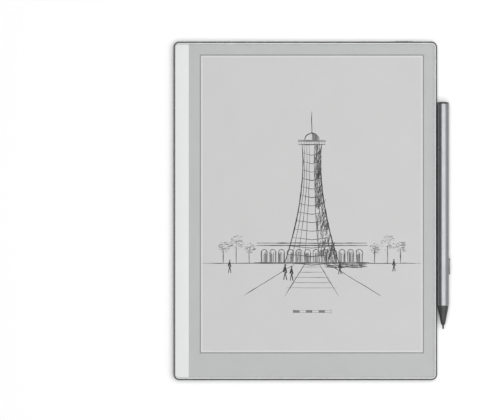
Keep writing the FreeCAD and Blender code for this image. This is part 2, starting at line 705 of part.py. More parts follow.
def magnet_pockets():
    """Pockets in the right wall, open to the cavity."""
    pockets = []
    for place in ("magnet_low", "magnet_up"):
        pockets.append(
            block(
                "magnet_pocket",
                (f"cavity_right - {OVERCUT}", "half_width - magnet_cover"),
                about(f"stylus_tip + {place}", "magnet_length + 2 * magnet_gap"),
                about("magnet_level", "magnet_high + 2 * magnet_gap"),
            )
        )
    return pockets


def antenna_spans():
    """The two antennas: name, the strip's span up the case and the tail's span up the case."""
    lower = ("antenna_middle - antenna_space - antenna_length", "antenna_middle - antenna_space")
    upper = ("antenna_middle + antenna_space", "antenna_middle + antenna_space + antenna_length")
    yield "lower_antenna", lower, (f"{lower[1]} - tail_width", lower[1])
    yield "upper_antenna", upper, (upper[0], f"{upper[0]} + tail_width")


def antenna_cuts():
    """A shallow pocket for each antenna strip, and a slot that lets its tail down into the cavity."""
    tools = []
    for name, strip, tail in antenna_spans():
        tools.append(
            block(
                f"{name}_pocket",
                ("antenna_left - tail_gap", "antenna_left + antenna_width + tail_gap"),
                (f"{strip[0]} - tail_gap", f"{strip[1]} + tail_gap"),
                ("ledge_top - antenna_pocket", f"ledge_top + {OVERCUT}"),
            )
        )
        tools.append(
            block(
                f"{name}_slot",
                ("tail_left - tail_gap", "tail_left + antenna_thick + tail_gap"),
                (f"{tail[0]} - tail_gap", f"{tail[1]} + tail_gap"),
                (f"web_low - {OVERCUT}", "ledge_top"),
            )
        )
    return tools


def make_covers():
    """The rear cover, the spine trim, the lens and what holds them."""
    keep(back_plate("rear_cover", ("0", "back_wall")))
    back_tape = back_plate("rear_tape_plate", ("back_wall", "plate_seat"))
    keep(ring("rear_tape", back_tape, ("-cavity_right", "cavity_right"), ("-cavity_high", "cavity_high")))
    keep(front_piece("spine_trim", ("bay_left", "spine_edge"), ("ledge_top", "lens_top")))
    lens = ("spine_edge + seat_gap", "bay_right")
    keep(front_piece("cover_lens", lens, ("lens_low", "lens_top")))
    mask = front_piece("mask_plate", lens, ("mask_low", "mask_low + mask_thick"))
    keep(ring("lens_mask", mask, ("window_left", "window_right"), ("window_low", "window_high")))
    tape = front_piece("tape_plate", lens, ("ledge_top", "mask_low"))
    bay_x = ("spine_edge + lens_ledge", "bay_right - lens_ledge")
    keep(ring("lens_tape", tape, bay_x, ("lens_ledge - bay_high", "bay_high - lens_ledge")))


def back_plate(label, z):
    """A rounded plate that fits inside the rim at the back."""
    return slab(
        label,
        ("seat_gap - bay_right", "bay_right - seat_gap"),
        ("seat_gap - bay_high", "bay_high - seat_gap"),
        z,
        corner="plate_round",
    )


def make_screen():
    """The display, the touch film in front of it, the pen sensor behind it and their ribbons."""
    panel = (("panel_left", "panel_right"), ("panel_foot", "panel_head"))
    keep(block("digitizer_board", panel[0], panel[1], ("web_top", "panel_low")))
    keep(block("epaper_panel", panel[0], panel[1], ("panel_low", "panel_top")))
    keep(
        block(
            "touch_sensor",
            ("window_left - touch_margin", "window_right + touch_margin"),
            ("window_low - touch_margin", "window_high + touch_margin"),
            ("touch_low", "touch_top"),
        )
    )
    for name, sides, start, level in ribbons():
        keep(make_ribbon(name, sides, start, level))


def make_ribbon(name, sides, start, level):
    """A ribbon that leaves a screen layer, drops through the web and turns back to its socket."""
    return fold(
        name,
        sides,
        (
            (start, f"{level} + flex_thick"),
            ("ribbon_back", f"{level} + flex_thick"),
            ("ribbon_back", "flex_low"),
            ("ribbon_end", "flex_low"),
            ("ribbon_end", "web_low"),
            ("ribbon_back + flex_thick", "web_low"),
            ("ribbon_back + flex_thick", level),
            (start, level),
        ),
    )


def make_board():
    """The main board, notched round the inlet, with its chips, cans, sockets and screws."""
    blank = block(
        "board_blank",
        ("-board_half", "board_half"),
        ("board_low", "board_up"),
        ("board_back", "board_face"),
    )
    notch = block(
        "board_notch",
        about("usb_offset", "usb_width + 4 * usb_gap"),
        (f"board_low - {OVERCUT}", "usb_end + 2 * usb_gap"),
        (f"board_back - {OVERCUT}", f"board_face + {OVERCUT}"),
    )
    holes = [notch]
    through = (f"board_back - {OVERCUT}", f"board_face + {OVERCUT}")
    for side, up in screw_places():
        holes.append(rod("board_hole", "z", side, up, through, "screw_radius + 2 * screw_gap"))
    keep(cut("main_board", blank, holes))

    chip = ("board_back - chip_high", "board_back")
    for name in ("processor", "power"):
        x = about(f"{name}_place", f"{name}_can_width")
        keep(make_shield(f"{name}_shield", x, about(f"board_low + {name}_rise", f"{name}_can_depth")))
    x = about("processor_place", "processor_size")
    keep(block("processor_chip", x, about("board_low + processor_rise", "processor_size"), chip))
    memory = []
    for name, side in (("lower_memory", "-"), ("upper_memory", "+")):
        middle = f"board_low + memory_rise {side} memory_pitch / 2"
        memory.append(block(name, about("memory_place", "memory_size"), about(middle, "memory_size"), chip))
    keep(group("memory_chips", memory))
    radio = ("board_back - radio_high", "board_back")
    x = about("radio_place", "radio_size")
    keep(block("wireless_module", x, about("board_low + radio_rise", "radio_size"), radio))
    spreader = ("board_back - shield_high - graphite_thick", "board_back - shield_high")
    x = about("0", "graphite_width")
    keep(block("graphite_sheet", x, ("board_low + graphite_inset", "board_up"), spreader))
    keep(group("flex_sockets", make_sockets()))
    keep(group("board_screws", [make_screw(side, up) for side, up in screw_places()]))


def make_shield(label, x, y):
    """A thin metal can, open towards the board."""
    can = slab(f"{label}_can", x, y, ("board_back - shield_high", "board_back"), corner="can_round")
    room = block(
        f"{label}_room",
        (f"{x[0]} + shield_wall", f"{x[1]} - shield_wall"),
        (f"{y[0]} + shield_wall", f"{y[1]} - shield_wall"),
        ("board_back - shield_high + shield_wall", f"board_back + {OVERCUT}"),
    )
    return cut(label, can, [room])


def make_sockets():
    """The sockets on the front of the board, one under the end of each ribbon."""
    z = ("board_face", "flex_low")
    sockets = []
    for name, sides, _, _ in ribbons():
        sockets.append(block(f"{name}_socket", sides, ("ribbon_end - socket_depth", "ribbon_end"), z))
    foot = ("board_up - foot_rise - column_width", "board_up - foot_rise")
    sockets.append(block("button_socket", ("foot_reach", "foot_reach + socket_depth"), foot, z))
    lead = ("board_up - lead_board", "board_up - lead_board + socket_depth")
    sockets.append(block("battery_socket", about("0", "lead_width"), lead, z))
    return sockets


def make_screw(side, up):
    """A pan-head screw that goes up through the board into its boss."""
    head = ("board_back - head_thick", "board_back")
    shank = ("board_back - head_thick / 2", "web_top - thread_skin - screw_gap")
    drive = (f"board_back - head_thick - {OVERCUT}", "board_back - head_thick + drive_depth")
    solid = fuse(
        "screw_solid",
        [
            rod("screw_head", "z", side, up, head, "head_radius"),
            rod("screw_shank", "z", side, up, shank, "screw_radius"),
        ],
    )
    return cut("screw", solid, [rod("screw_drive", "z", side, up, drive, "drive_radius")])


def make_battery():
    """The flat cell, its tape, its guard board and the lead to the main board."""
    keep(
        slab(
            "battery_cell",
            about("0", "battery_width"),
            ("battery_low", "battery_up"),
            ("battery_face - battery_thick", "battery_face"),
            corner="cell_round",
            low_edge="cell_edge",
            high_edge="cell_edge",
        )
    )
    keep(
        block(
            "battery_tape",
            about("0", "battery_width - 2 * tape_side"),
            ("battery_low + tape_end", "battery_up - tape_end"),
            ("battery_face", "web_low"),
        )
    )
    keep(
        block(
            "battery_guard_board",
            about("0", "guard_width"),
            ("battery_low - guard_height", "battery_low"),
            ("flex_low - guard_thick", "flex_low"),
        )
    )
    keep(
        block(
            "battery_lead",
            about("0", "lead_width"),
            ("board_up - lead_board", "battery_low - guard_height + lead_guard"),
            ("flex_low", "web_low"),
        )
    )


def make_inlet():
    """The charging inlet: a rounded metal shell, closed at the back, round a contact tongue."""
    outer = slab(
        "inlet_outer",
        about("usb_offset", "usb_width"),
        ("usb_mouth", "usb_end"),
        about("usb_level", "usb_high"),
        along="y",
        corner="usb_high / 2 - usb_gap",
    )
    inner = slab(
        "inlet_inner",
        about("usb_offset", "usb_width - 2 * usb_wall"),
        (f"usb_mouth - {OVERCUT}", "usb_end - usb_back"),
        about("usb_level", "usb_high - 2 * usb_wall"),
        along="y",
        corner="usb_high / 2 - usb_wall - usb_gap",
    )
    keep(cut("usb_shell", outer, [inner]))
    blade = block(
        "tongue_blade",
        about("usb_offset", "tongue_width"),
        ("usb_mouth + tongue_recess", "usb_end - usb_back"),
        about("usb_level", "tongue_thick"),
    )
    root = slab(
        "tongue_base",
        about("usb_offset", "usb_width - 2 * usb_wall - 2 * root_gap"),
        ("usb_end - usb_back - tongue_root", "usb_end - usb_back"),
        about("usb_level", "usb_high - 2 * usb_wall - 2 * root_gap"),
        along="y",
        corner="usb_high / 2 - usb_wall - usb_gap - root_gap",
    )
    keep(fuse("usb_tongue", [blade, root]))


def make_sound():
    """Two speakers in the bottom corners with their gaskets, and two microphones on the board."""
    front = "gasket_thick - cavity_high"
    room = ("back_wall + speaker_slack", "web_low - speaker_slack")
    gaskets = []
    for label, side in (("speaker_left", "-"), ("speaker_right", "")):
        middle = f"{side}speaker_middle"
        span = (front, f"{front} + speaker_depth")
        keep(slab(label, about(middle, "speaker_width"), span, room, corner="speaker_round"))
        outer = block(f"{label}_pad", about(middle, "gasket_width"), ("-cavity_high", front), room)
        inner = block(
            f"{label}_gap",
            about(middle, "gasket_width - 2 * gasket_frame"),
            (f"-cavity_high - {OVERCUT}", f"{front} + {OVERCUT}"),
            (f"{room[0]} + gasket_frame", f"{room[1]} - gasket_frame"),
        )
        gaskets.append(cut(f"{label}_gasket", outer, [inner]))
    keep(group("speaker_gaskets", gaskets))
    microphones = []
    for side in ("-", "+"):
        microphones.append(
            block(
                "microphone",
                about(f"usb_offset {side} mic_offset", "mic_width"),
                ("board_low", "board_low + mic_depth"),
                ("board_back - mic_high", "board_back"),
            )
        )
    keep(group("microphones", microphones))


def make_antennas():
    """Two strips under the spine trim, each with a tail that drops into the cavity and runs to the board."""
    antennas = []
    for name, strip, tail in antenna_spans():
        floor = "ledge_top - antenna_pocket"
        pieces = [
            block(
                f"{name}_strip",
                ("antenna_left", "antenna_left + antenna_width"),
                strip,
                (floor, f"{floor} + antenna_thick"),
            ),
            block(
                f"{name}_drop",
                ("tail_left", "tail_left + antenna_thick"),
                tail,
                ("web_low - antenna_thick", f"{floor} + antenna_thick"),
            ),
            block(
                f"{name}_run",
                ("tail_left", "tail_reach - board_half"),
                tail,
                ("web_low - antenna_thick", "web_low"),
            ),
        ]
        if name == "upper_antenna":
            pieces.append(
                block(
                    f"{name}_descent",
                    ("tail_reach - board_half - tail_width", "tail_reach - board_half"),
                    ("board_up - 2 * tail_reach", tail[1]),
                    ("web_low - antenna_thick", "web_low"),
                )
            )
        antennas.append(fuse(name, pieces))
    keep(group("antennas", antennas))


def make_button():
    """The power button, its switch and the ribbon that joins the switch to the board."""
    head = slab(
        "button_head",
        about("button_middle", "button_length"),
        ("flange_face - button_flange / 2", "half_height + button_proud"),
        about("button_level", "button_high"),
        along="y",
        corner="button_round",
        high_edge="button_bevel",
    )
    flange = block(
        "button_flange_plate",
        about("button_middle", "button_length + 2 * flange_reach"),
        ("flange_face - button_flange", "flange_face"),
        about("button_level", "button_high + 2 * flange_lip"),
    )
    keep(fuse("power_button", [head, flange]))
    keep(
        block(
            "button_switch",
            about("button_middle", "switch_width"),
            ("switch_face - switch_depth", "switch_face"),
            ("flex_low - switch_high", "flex_low"),
        )
    )
    z = ("flex_low", "web_low")
    top = "cavity_high - arm_gap"
    arm = block(
        "button_flex_arm",
        (
            "min(column_left; button_middle - switch_width / 2)",
            "max(column_left + column_width; button_middle + switch_width / 2)",
        ),
        (f"{top} - column_width", top),
        z,
    )
    column = block(
        "button_flex_column",
        ("column_left", "column_left + column_width"),
        ("board_up - foot_rise - column_width", top),
        z,
    )
    foot = block(
        "button_flex_foot",
        ("foot_reach", "column_left + column_width"),
        ("board_up - foot_rise - column_width", "board_up - foot_rise"),
        z,
    )
    keep(fuse("button_flex", [arm, column, foot]))


def make_case_magnets():
    """Two bar magnets in the right wall, level with the magnets in the stylus."""
    magnets = []
    outer = "half_width - magnet_cover - magnet_gap"
    for place in ("magnet_low", "magnet_up"):
        magnets.append(
            block(
                "case_magnet",
                (f"{outer} - magnet_thick", outer),
                about(f"stylus_tip + {place}", "magnet_length"),
                about("magnet_level", "magnet_high"),
            )
        )
    keep(group("case_magnets", magnets))


def pen_block(label, x, along, z):
    """A box in the stylus: X and Z from its axis, and the distance from its tip."""
    return block(
        label,
        tuple(f"stylus_side + ({value})" for value in x),
        tuple(f"stylus_tip + ({value})" for value in along),
        tuple(f"stylus_level + ({value})" for value in z),
    )


def make_stylus():
    """The stylus: a metal barrel with a cap, a tapered cone and the electronics inside."""
    tube = turned(
        "barrel_tube",
        (
            ("barrel_bore", "barrel_start"),
            ("stylus_radius - barrel_bevel", "barrel_start"),
            ("stylus_radius", "barrel_start + barrel_bevel"),
            ("stylus_radius", "barrel_end - barrel_bevel"),
            ("stylus_radius - barrel_bevel", "barrel_end"),
            ("barrel_bore", "barrel_end"),
        ),
    )
    flat = pen_block(
        "barrel_flat",
        ("-stylus_radius - 1", "flat_depth - stylus_radius"),
        ("barrel_start - 1", "barrel_end + 1"),
        ("-stylus_radius", "stylus_radius"),
    )
    key_x = ("stylus_side", f"stylus_side + stylus_radius + {OVERCUT}")
    key_slot = slab(
        "key_slot",
        key_x,
        about("stylus_tip + key_along", "key_length + 2 * key_gap"),
        about("stylus_level", "key_width + 2 * key_gap"),
        along="x",
        corner="key_round + key_gap",
    )
    keep(cut("stylus_barrel", tube, [flat, key_slot]))

    cap = turned(
        "stylus_end_cap",
        (
            ("0", "barrel_end - cap_plug"),
            ("plug_radius", "barrel_end - cap_plug"),
            ("plug_radius", "barrel_end"),
            ("cap_radius", "barrel_end"),
            ("cap_radius", "stylus_length"),
            ("0", "stylus_length"),
        ),
    )
    round_edges(cap, cap.Tip, edges_at(cap.Tip.Shape, "y", True), "cap_round")
    keep(cap)

    keep(
        turned(
            "stylus_cone",
            (
                ("nib_bore", "nib_reach"),
                ("cone_front", "nib_reach"),
                ("cone_lip", "nib_reach + lip_length"),
                ("cone_waist", "barrel_start - cone_neck"),
                ("cone_back", "barrel_start"),
                ("plug_radius", "barrel_start"),
                ("plug_radius", "barrel_start + cone_spigot"),
                ("coil_radius + coil_room", "barrel_start + cone_spigot"),
                ("coil_radius + coil_room", "coil_start - ferrite_gap"),
                ("ferrite_radius + ferrite_gap", "coil_start - ferrite_gap"),
                ("ferrite_radius + ferrite_gap", "ferrite_start - ferrite_gap"),
                ("nib_bore", "ferrite_start - ferrite_gap"),
            ),
        )
    )
    make_nib()
    make_stylus_electronics()
    make_stylus_key()


def make_nib():
    """The nib and the holder that grips its inner end, which slide together."""
    keep(
        turned(
            "stylus_nib",
            (
                ("0", "0"),
                ("nib_radius * 0.45", "nib_taper * 0.08"),
                ("nib_radius * 0.85", "nib_taper * 0.4"),
                ("nib_radius", "nib_taper"),
                ("nib_radius", "nib_length"),
                ("0", "nib_length"),
            ),
        )
    )
    keep(
        turned(
            "stylus_nib_holder",
            (
                ("nib_radius", "holder_start"),
                ("holder_radius", "holder_start"),
                ("holder_radius", "holder_start + holder_length"),
                ("0", "holder_start + holder_length"),
                ("0", "nib_length"),
                ("nib_radius", "nib_length"),
            ),
        )
    )


def tube_points(inner, outer, start, length):
    """The outline of a plain turned tube."""
    end = f"{start} + {length}"
    return ((inner, start), (outer, start), (outer, end), (inner, end))


def make_stylus_electronics():
    """The ferrite core and its coil, the pressure sensor, and the inner frame with the board and magnets."""
    ferrite = tube_points("ferrite_bore", "ferrite_radius", "ferrite_start", "ferrite_length")
    keep(turned("stylus_ferrite", ferrite))
    coil = tube_points("ferrite_radius + coil_gap", "coil_radius", "coil_start", "coil_length")
    keep(turned("stylus_coil", coil))
    sensor = tube_points("0", "sensor_radius", "sensor_start", "sensor_length")
    keep(turned("stylus_pressure_sensor", sensor))

    length = "stylus_length - trough_end - trough_start"
    tube = turned("trough_tube", tube_points("trough_bore", "trough_radius", "trough_start", length))
    upper = pen_block(
        "trough_opening",
        ("-stylus_radius", "stylus_radius"),
        ("trough_start - 1", "stylus_length"),
        ("-strip_drop", "stylus_radius"),
    )
    key_reach = "key_length / 2 + key_reach + key_room"
    key_span = (f"key_along - ({key_reach})", f"key_along + ({key_reach})")
    notch = pen_block(
        "trough_notch",
        ("key_inner - key_travel - key_room", "stylus_radius"),
        key_span,
        ("-key_width / 2 - key_lip - key_room", "0"),
    )
    keep(cut("stylus_inner_frame", tube, [upper, notch]))

    strip = pen_block(
        "strip_blank",
        ("-strip_half", "strip_half"),
        ("strip_start", "strip_start + strip_length"),
        ("-strip_drop", "strip_top"),
    )
    recess = pen_block(
        "strip_notch",
        ("key_stop", "stylus_radius"),
        key_span,
        ("-stylus_radius", "stylus_radius"),
    )
    keep(cut("stylus_board", strip, [recess]))
    magnets = []
    for place in ("magnet_low", "magnet_up"):
        magnets.append(
            pen_block(
                "stylus_magnet",
                ("-magnet_side", "pen_magnet - magnet_side"),
                about(place, "magnet_length"),
                ("strip_top", "strip_top + pen_magnet"),
            )
        )
    keep(group("stylus_magnets", magnets))


def make_stylus_key():
    """The side key with its inner flange, and the switch that it presses."""
    head = slab(
        "key_head",
        ("stylus_side + key_seat - key_flange / 2", "stylus_side + stylus_radius + key_proud"),
        about("stylus_tip + key_along", "key_length"),
        about("stylus_level", "key_width"),
        along="x",
        corner="key_round",
        high_edge="key_bevel",
    )
    flange = pen_block(
        "key_flange_plate",
        ("key_inner", "key_seat"),
        about("key_along", "key_length + 2 * key_reach"),
        about("0", "key_width + 2 * key_lip"),
    )
    keep(fuse("stylus_key", [head, flange]))
    keep(
        pen_block(
            "stylus_key_switch",
            ("key_stop - key_switch_depth", "key_stop"),
            about("key_along", "key_switch_length"),
            ("strip_top", "strip_top + key_switch_high"),
        )
    )


def write_sub_parts():
    """Check every object, then write each sub-part to a file named after it."""
    failed = [item.Label for item in doc.Objects if is_failed(item)]
    if failed:
        raise RuntimeError(f"objects that could not be made: {failed}")
    for item in sub_parts:
        if item.Shape.isNull() or not item.Shape.isValid() or not item.Shape.Solids:
            raise RuntimeError(f"{item.Label} is not a valid solid")
    os.makedirs(PARTS_FOLDER, exist_ok=True)
    for item in sub_parts:
        item.Shape.exportStep(os.path.join(PARTS_FOLDER, f"{item.Label}.step"))
        print(f"{item.Label:24s} {len(item.Shape.Solids):2d} solids {item.Shape.Volume:10.2f} mm3")


fill_sheet("Sizes", SIZES)
home.update({alias: f"Sizes.{alias}" for alias, _, _ in SIZES})
fill_sheet("Places", [(alias, "=" + rule(formula), note) for alias, formula, note in PLACES])
home.update({alias: f"Places.{alias}" for alias, _, _ in PLACES})
doc.recompute()
make_frame()
make_covers()
make_screen()
make_board()
make_battery()
make_inlet()
make_sound()
make_antennas()
make_button()
make_case_magnets()
make_stylus()
doc.recompute()
write_sub_parts()
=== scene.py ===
import logging
import math
import random
from collections.abc import Callable, Sequence
from dataclasses import dataclass, field
from enum import Enum

import bpy
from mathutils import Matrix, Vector


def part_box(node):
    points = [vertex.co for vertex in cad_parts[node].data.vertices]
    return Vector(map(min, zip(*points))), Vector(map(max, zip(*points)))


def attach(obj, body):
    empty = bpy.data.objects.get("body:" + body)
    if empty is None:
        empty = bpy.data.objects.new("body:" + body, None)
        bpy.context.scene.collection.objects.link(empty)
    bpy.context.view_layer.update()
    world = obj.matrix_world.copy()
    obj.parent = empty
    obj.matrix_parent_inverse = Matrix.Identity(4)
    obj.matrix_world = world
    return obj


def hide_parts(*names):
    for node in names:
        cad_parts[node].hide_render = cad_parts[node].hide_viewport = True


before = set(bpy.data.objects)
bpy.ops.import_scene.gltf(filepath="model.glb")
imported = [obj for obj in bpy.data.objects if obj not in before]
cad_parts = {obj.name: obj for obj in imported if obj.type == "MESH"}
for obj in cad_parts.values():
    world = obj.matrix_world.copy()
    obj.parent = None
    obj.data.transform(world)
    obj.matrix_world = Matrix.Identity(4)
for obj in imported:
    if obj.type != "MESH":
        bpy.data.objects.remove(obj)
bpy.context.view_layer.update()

# A pen notepad with a paper-like screen, its stylus held along the right side. Sizes here are in
# millimetres and are turned into metres on the modelling bench. X points at the stylus, Y at the power
# button, Z out of the screen.

MM = 0.001
log = logging.getLogger("notepad")

Point = tuple[float, float, float]
Spot = tuple[float, float]
Colour = tuple[float, float, float]
EdgeTest = Callable[[Vector, Vector], bool]
FaceTest = Callable[[Vector, Vector], bool]


class Body(Enum):
    """The bodies that move by themselves."""

    TABLET = "tablet"
    BUTTON = "button"
    STYLUS = "stylus"
    KEY = "key"
    NIB = "nib"


class Axis(Enum):
    """A direction of the object, with its place in a point."""

    X = 0
    Y = 1
    Z = 2


def cad_box(node: str) -> tuple[Vector, Vector]:
    """Gives a CAD node's box in millimetres.

    Args:
        node: The name of the node.

    Returns:
        Its lowest and highest corner.
    """
    low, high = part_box(node)
    return low / MM, high / MM


class Bench:
    """The modelling bench: every mesh is started, shaped and finished with these tools."""

    @staticmethod
    def pick(*pieces: bpy.types.Object) -> None:
        """Selects these pieces and nothing else; the first becomes the active one.

        Args:
            pieces: The pieces to select.
        """
        bpy.ops.object.select_all(action="DESELECT")
        for piece in pieces:
            piece.select_set(True)
        bpy.context.view_layer.objects.active = pieces[0]

    @staticmethod
    def name_active(name: str) -> bpy.types.Object:
        """Names the piece that was just added and moves its place into its mesh.

        Args:
            name: The name of the piece.

        Returns:
            The piece.
        """
        piece = bpy.context.object
        piece.name = piece.data.name = name
        bpy.ops.object.transform_apply(location=True, rotation=True, scale=True)
        return piece

    @staticmethod
    def block(name: str, low: Sequence[float], high: Sequence[float]) -> bpy.types.Object:
        """Adds a square block.

        Args:
            name: The name of the piece.
            low: Its lowest corner, in millimetres.
            high: Its highest corner, in millimetres.

        Returns:
            The block.
        """
        bpy.ops.object.select_all(action="DESELECT")
        middle = [(a + b) / 2 * MM for a, b in zip(low, high)]
        size = [(b - a) * MM for a, b in zip(low, high)]
        bpy.ops.mesh.primitive_cube_add(size=1, location=middle, scale=size)
        return Bench.name_active(name)

    @staticmethod
    def slab(
        name: str,
        low: Sequence[float],
        high: Sequence[float],
        corner: float,
        along: Axis = Axis.Z,
        low_edge: float = 0.0,
        high_edge: float = 0.0,
        steps: int = 12,
        edge_steps: int = 4,
    ) -> bpy.types.Object:
        """Adds a block with rounded corners round one axis, and with rounded edges at its two ends.

        Args:
            name: The name of the piece.
            low: Its lowest corner, in millimetres.
            high: Its highest corner, in millimetres.
            corner: Radius of the four corners, in millimetres.
            along: The axis that the corners go round.
            low_edge: Rounding of the edge at the low end, in millimetres.
            high_edge: Rounding of the edge at the high end, in millimetres.
            steps: Facets of a corner.
            edge_steps: Facets of an edge's rounding.

        Returns:
            The slab.
        """
        piece = Bench.block(name, low, high)
        axis = along.value
        reach = (high[axis] - low[axis]) * MM

        def runs_through(start: Vector, end: Vector) -> bool:
            """Tells whether an edge runs from one end of the block to the other."""
            return abs(abs(start[axis] - end[axis]) - reach) < reach * 0.01

        Bench.bevel(piece, runs_through, corner, steps)
        near = reach * 0.001
        for level, width in ((low[axis] * MM, low_edge), (high[axis] * MM, high_edge)):
            if width > 0:

                def is_at_level(start: Vector, end: Vector, at: float = level) -> bool:
                    """Tells whether an edge lies in one end of the block."""
                    return abs(start[axis] - at) < near and abs(end[axis] - at) < near

                Bench.bevel(piece, is_at_level, width, edge_steps)
        return piece

    @staticmethod
    def rod(
        name: str, along: Axis, middle: Sequence[float], radius: float, length: float, sides: int = 32
    ) -> bpy.types.Object:
        """Adds a round rod.

        Args:
            name: The name of the piece.
            along: The direction of the rod.
            middle: Its middle, in millimetres.
            radius: Its radius, in millimetres.
            length: Its length, in millimetres.
            sides: Number of sides.

        Returns:
            The rod.
        """
        turns = {Axis.X: (0, math.pi / 2, 0), Axis.Y: (math.pi / 2, 0, 0), Axis.Z: (0, 0, 0)}
        bpy.ops.object.select_all(action="DESELECT")
        bpy.ops.mesh.primitive_cylinder_add(
            vertices=sides,
            radius=radius * MM,
            depth=length * MM,
            location=[value * MM for value in middle],
            rotation=turns[along],
        )
        return Bench.name_active(name)

    @staticmethod
    def choose_edges(piece: bpy.types.Object, test: EdgeTest) -> int:
        """Selects the edges of a piece that pass a test and leaves it in edit mode.

        Args:
            piece: The piece.
            test: Takes the two ends of an edge, in metres.

        Returns:
            How many edges were chosen.
        """
        Bench.pick(piece)
        mesh = piece.data
        for group in (mesh.vertices, mesh.edges, mesh.polygons):
            group.foreach_set("select", [False] * len(group))
        chosen = 0
        for edge in mesh.edges:
            if test(*(mesh.vertices[index].co for index in edge.vertices)):
                edge.select = True
                chosen += 1
        bpy.context.tool_settings.mesh_select_mode = (False, True, False)
        bpy.ops.object.mode_set(mode="EDIT")
        return chosen

    @staticmethod
    def bevel(piece: bpy.types.Object, test: EdgeTest, width: float, steps: int) -> None:
        """Rounds the edges that pass a test.

        Args:
            piece: The piece.
            test: Takes the two ends of an edge, in metres.
            width: Radius of the rounding, in millimetres.
            steps: Facets of the rounding.
        """
        if Bench.choose_edges(piece, test):
            bpy.ops.mesh.bevel(
                offset_type="OFFSET", offset=width * MM, segments=steps, profile=0.5, affect="EDGES"
            )
        bpy.ops.object.mode_set(mode="OBJECT")

    @staticmethod
    def turned(
        name: str,
        centre: tuple[float, float],
        stations: Sequence[tuple[float, float]],
        sides: int = 96,
        hollow: bool = False,
    ) -> bpy.types.Object:
        """Builds a piece that is round about a line along Y, ring by ring.

        Args:
            name: The name of the piece.
            centre: X and Z of the line, in millimetres.
            stations: Y and radius of each ring, in millimetres.
            sides: Number of sides.
            hollow: Whether the last ring meets the first one, which leaves a hole through the piece.

        Returns:
            The piece.
        """
        x, z = (value * MM for value in centre)
        along, radius = stations[0]
        bpy.ops.object.select_all(action="DESELECT")
        bpy.ops.mesh.primitive_circle_add(
            vertices=sides,
            radius=radius * MM,
            fill_type="NOTHING" if hollow else "NGON",
            location=(x, along * MM, z),
            rotation=(math.pi / 2, 0, 0),
        )
        piece = Bench.name_active(name)
        bpy.context.tool_settings.mesh_select_mode = (True, False, False)
        bpy.ops.object.mode_set(mode="EDIT")
        bpy.ops.mesh.select_all(action="SELECT")
        for next_along, next_radius in stations[1:]:
            bpy.ops.mesh.extrude_region_move(
                TRANSFORM_OT_translate={"value": (0, (next_along - along) * MM, 0)}
            )
            growth = next_radius / radius
            bpy.ops.transform.resize(
                value=(growth, 1, growth), center_override=(x, next_along * MM, z)
            )
            along, radius = next_along, next_radius
        bpy.ops.mesh.select_all(action="SELECT")
        bpy.ops.mesh.remove_doubles(threshold=1e-7)
        bpy.ops.mesh.normals_make_consistent(inside=False)
        bpy.ops.object.mode_set(mode="OBJECT")
        return piece

    @staticmethod
    def join(name: str, pieces: Sequence[bpy.types.Object]) -> bpy.types.Object:
        """Joins pieces into one object.

        Args:
            name: The name of the joined piece.
            pieces: What is joined.

        Returns:
            The joined piece.
        """
        Bench.pick(*pieces)
        if len(pieces) > 1:
            bpy.ops.object.join()
        piece = bpy.context.object
        piece.name = piece.data.name = name
        return piece

    @staticmethod
    def combine(piece: bpy.types.Object, other: bpy.types.Object, operation: str) -> None:
        """Cuts another piece away from this one, or adds it; the other piece is used up.

        Args:
            piece: The piece that stays.
            other: The piece that is cut away or added.
            operation: DIFFERENCE, UNION or INTERSECT.
        """
        Bench.pick(piece)
        modifier = piece.modifiers.new("shape", "BOOLEAN")
        modifier.operation = operation
        modifier.solver = "EXACT"
        modifier.use_self = operation == "DIFFERENCE"
        modifier.object = other
        bpy.ops.object.modifier_apply(modifier=modifier.name)
        Bench.scrap(other)

    @staticmethod
    def scrap(piece: bpy.types.Object) -> None:
        """Throws a piece away.

        Args:
            piece: The piece.
        """
        mesh = piece.data
        bpy.data.objects.remove(piece)
        bpy.data.meshes.remove(mesh)

    @staticmethod
    def copy(
        piece: bpy.types.Object, name: str, shift: Sequence[float] = (0, 0, 0)
    ) -> bpy.types.Object:
        """Copies a piece with its own mesh and moves the copy.

        Args:
            piece: The piece to copy.
            name: The name of the copy.
            shift: How far the copy moves, in millimetres.

        Returns:
            The copy.
        """
        Bench.pick(piece)
        bpy.ops.object.duplicate(linked=False)
        twin = bpy.context.object
        twin.name = twin.data.name = name
        twin.location = [value * MM for value in shift]
        bpy.ops.object.transform_apply(location=True, rotation=True, scale=True)
        return twin

    @staticmethod
    def smooth(piece: bpy.types.Object, angle: float = 32.0) -> None:
        """Shades a piece smooth except over edges sharper than an angle.

        Args:
            piece: The piece.
            angle: The angle, in degrees.
        """
        Bench.pick(piece)
        bpy.ops.object.shade_smooth_by_angle(angle=math.radians(angle))

    @staticmethod
    def dress(
        piece: bpy.types.Object,
        base: bpy.types.Material,
        *others: tuple[bpy.types.Material, FaceTest],
    ) -> None:
        """Gives a piece its finish, and other finishes to the faces that pass a test.

        Args:
            piece: The piece.
            base: The finish of all other faces.
            others: Further finishes, each with the test of its faces, in metres.
        """
        piece.data.materials.clear()
        piece.data.materials.append(base)
        for face in piece.data.polygons:
            face.material_index = 0
        for index, (material, test) in enumerate(others, start=1):
            piece.data.materials.append(material)
            for face in piece.data.polygons:
                if test(face.center, face.normal):
                    face.material_index = index


def hand_over(piece: bpy.types.Object, body: Body, slot: str, *nodes: str) -> None:
    """Lets a finished piece ride on its body and hides what it stands for.

    Args:
        piece: The finished piece.
        body: The body that it moves with.
        slot: The record's material slot; not used.
        nodes: The CAD nodes that it stands for.
    """
    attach(piece, body.value)
    if nodes:
        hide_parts(*nodes)
    log.info("%s: %d faces on %s", piece.name, len(piece.data.polygons), body.value)


# Finishes

Socket = bpy.types.NodeSocket


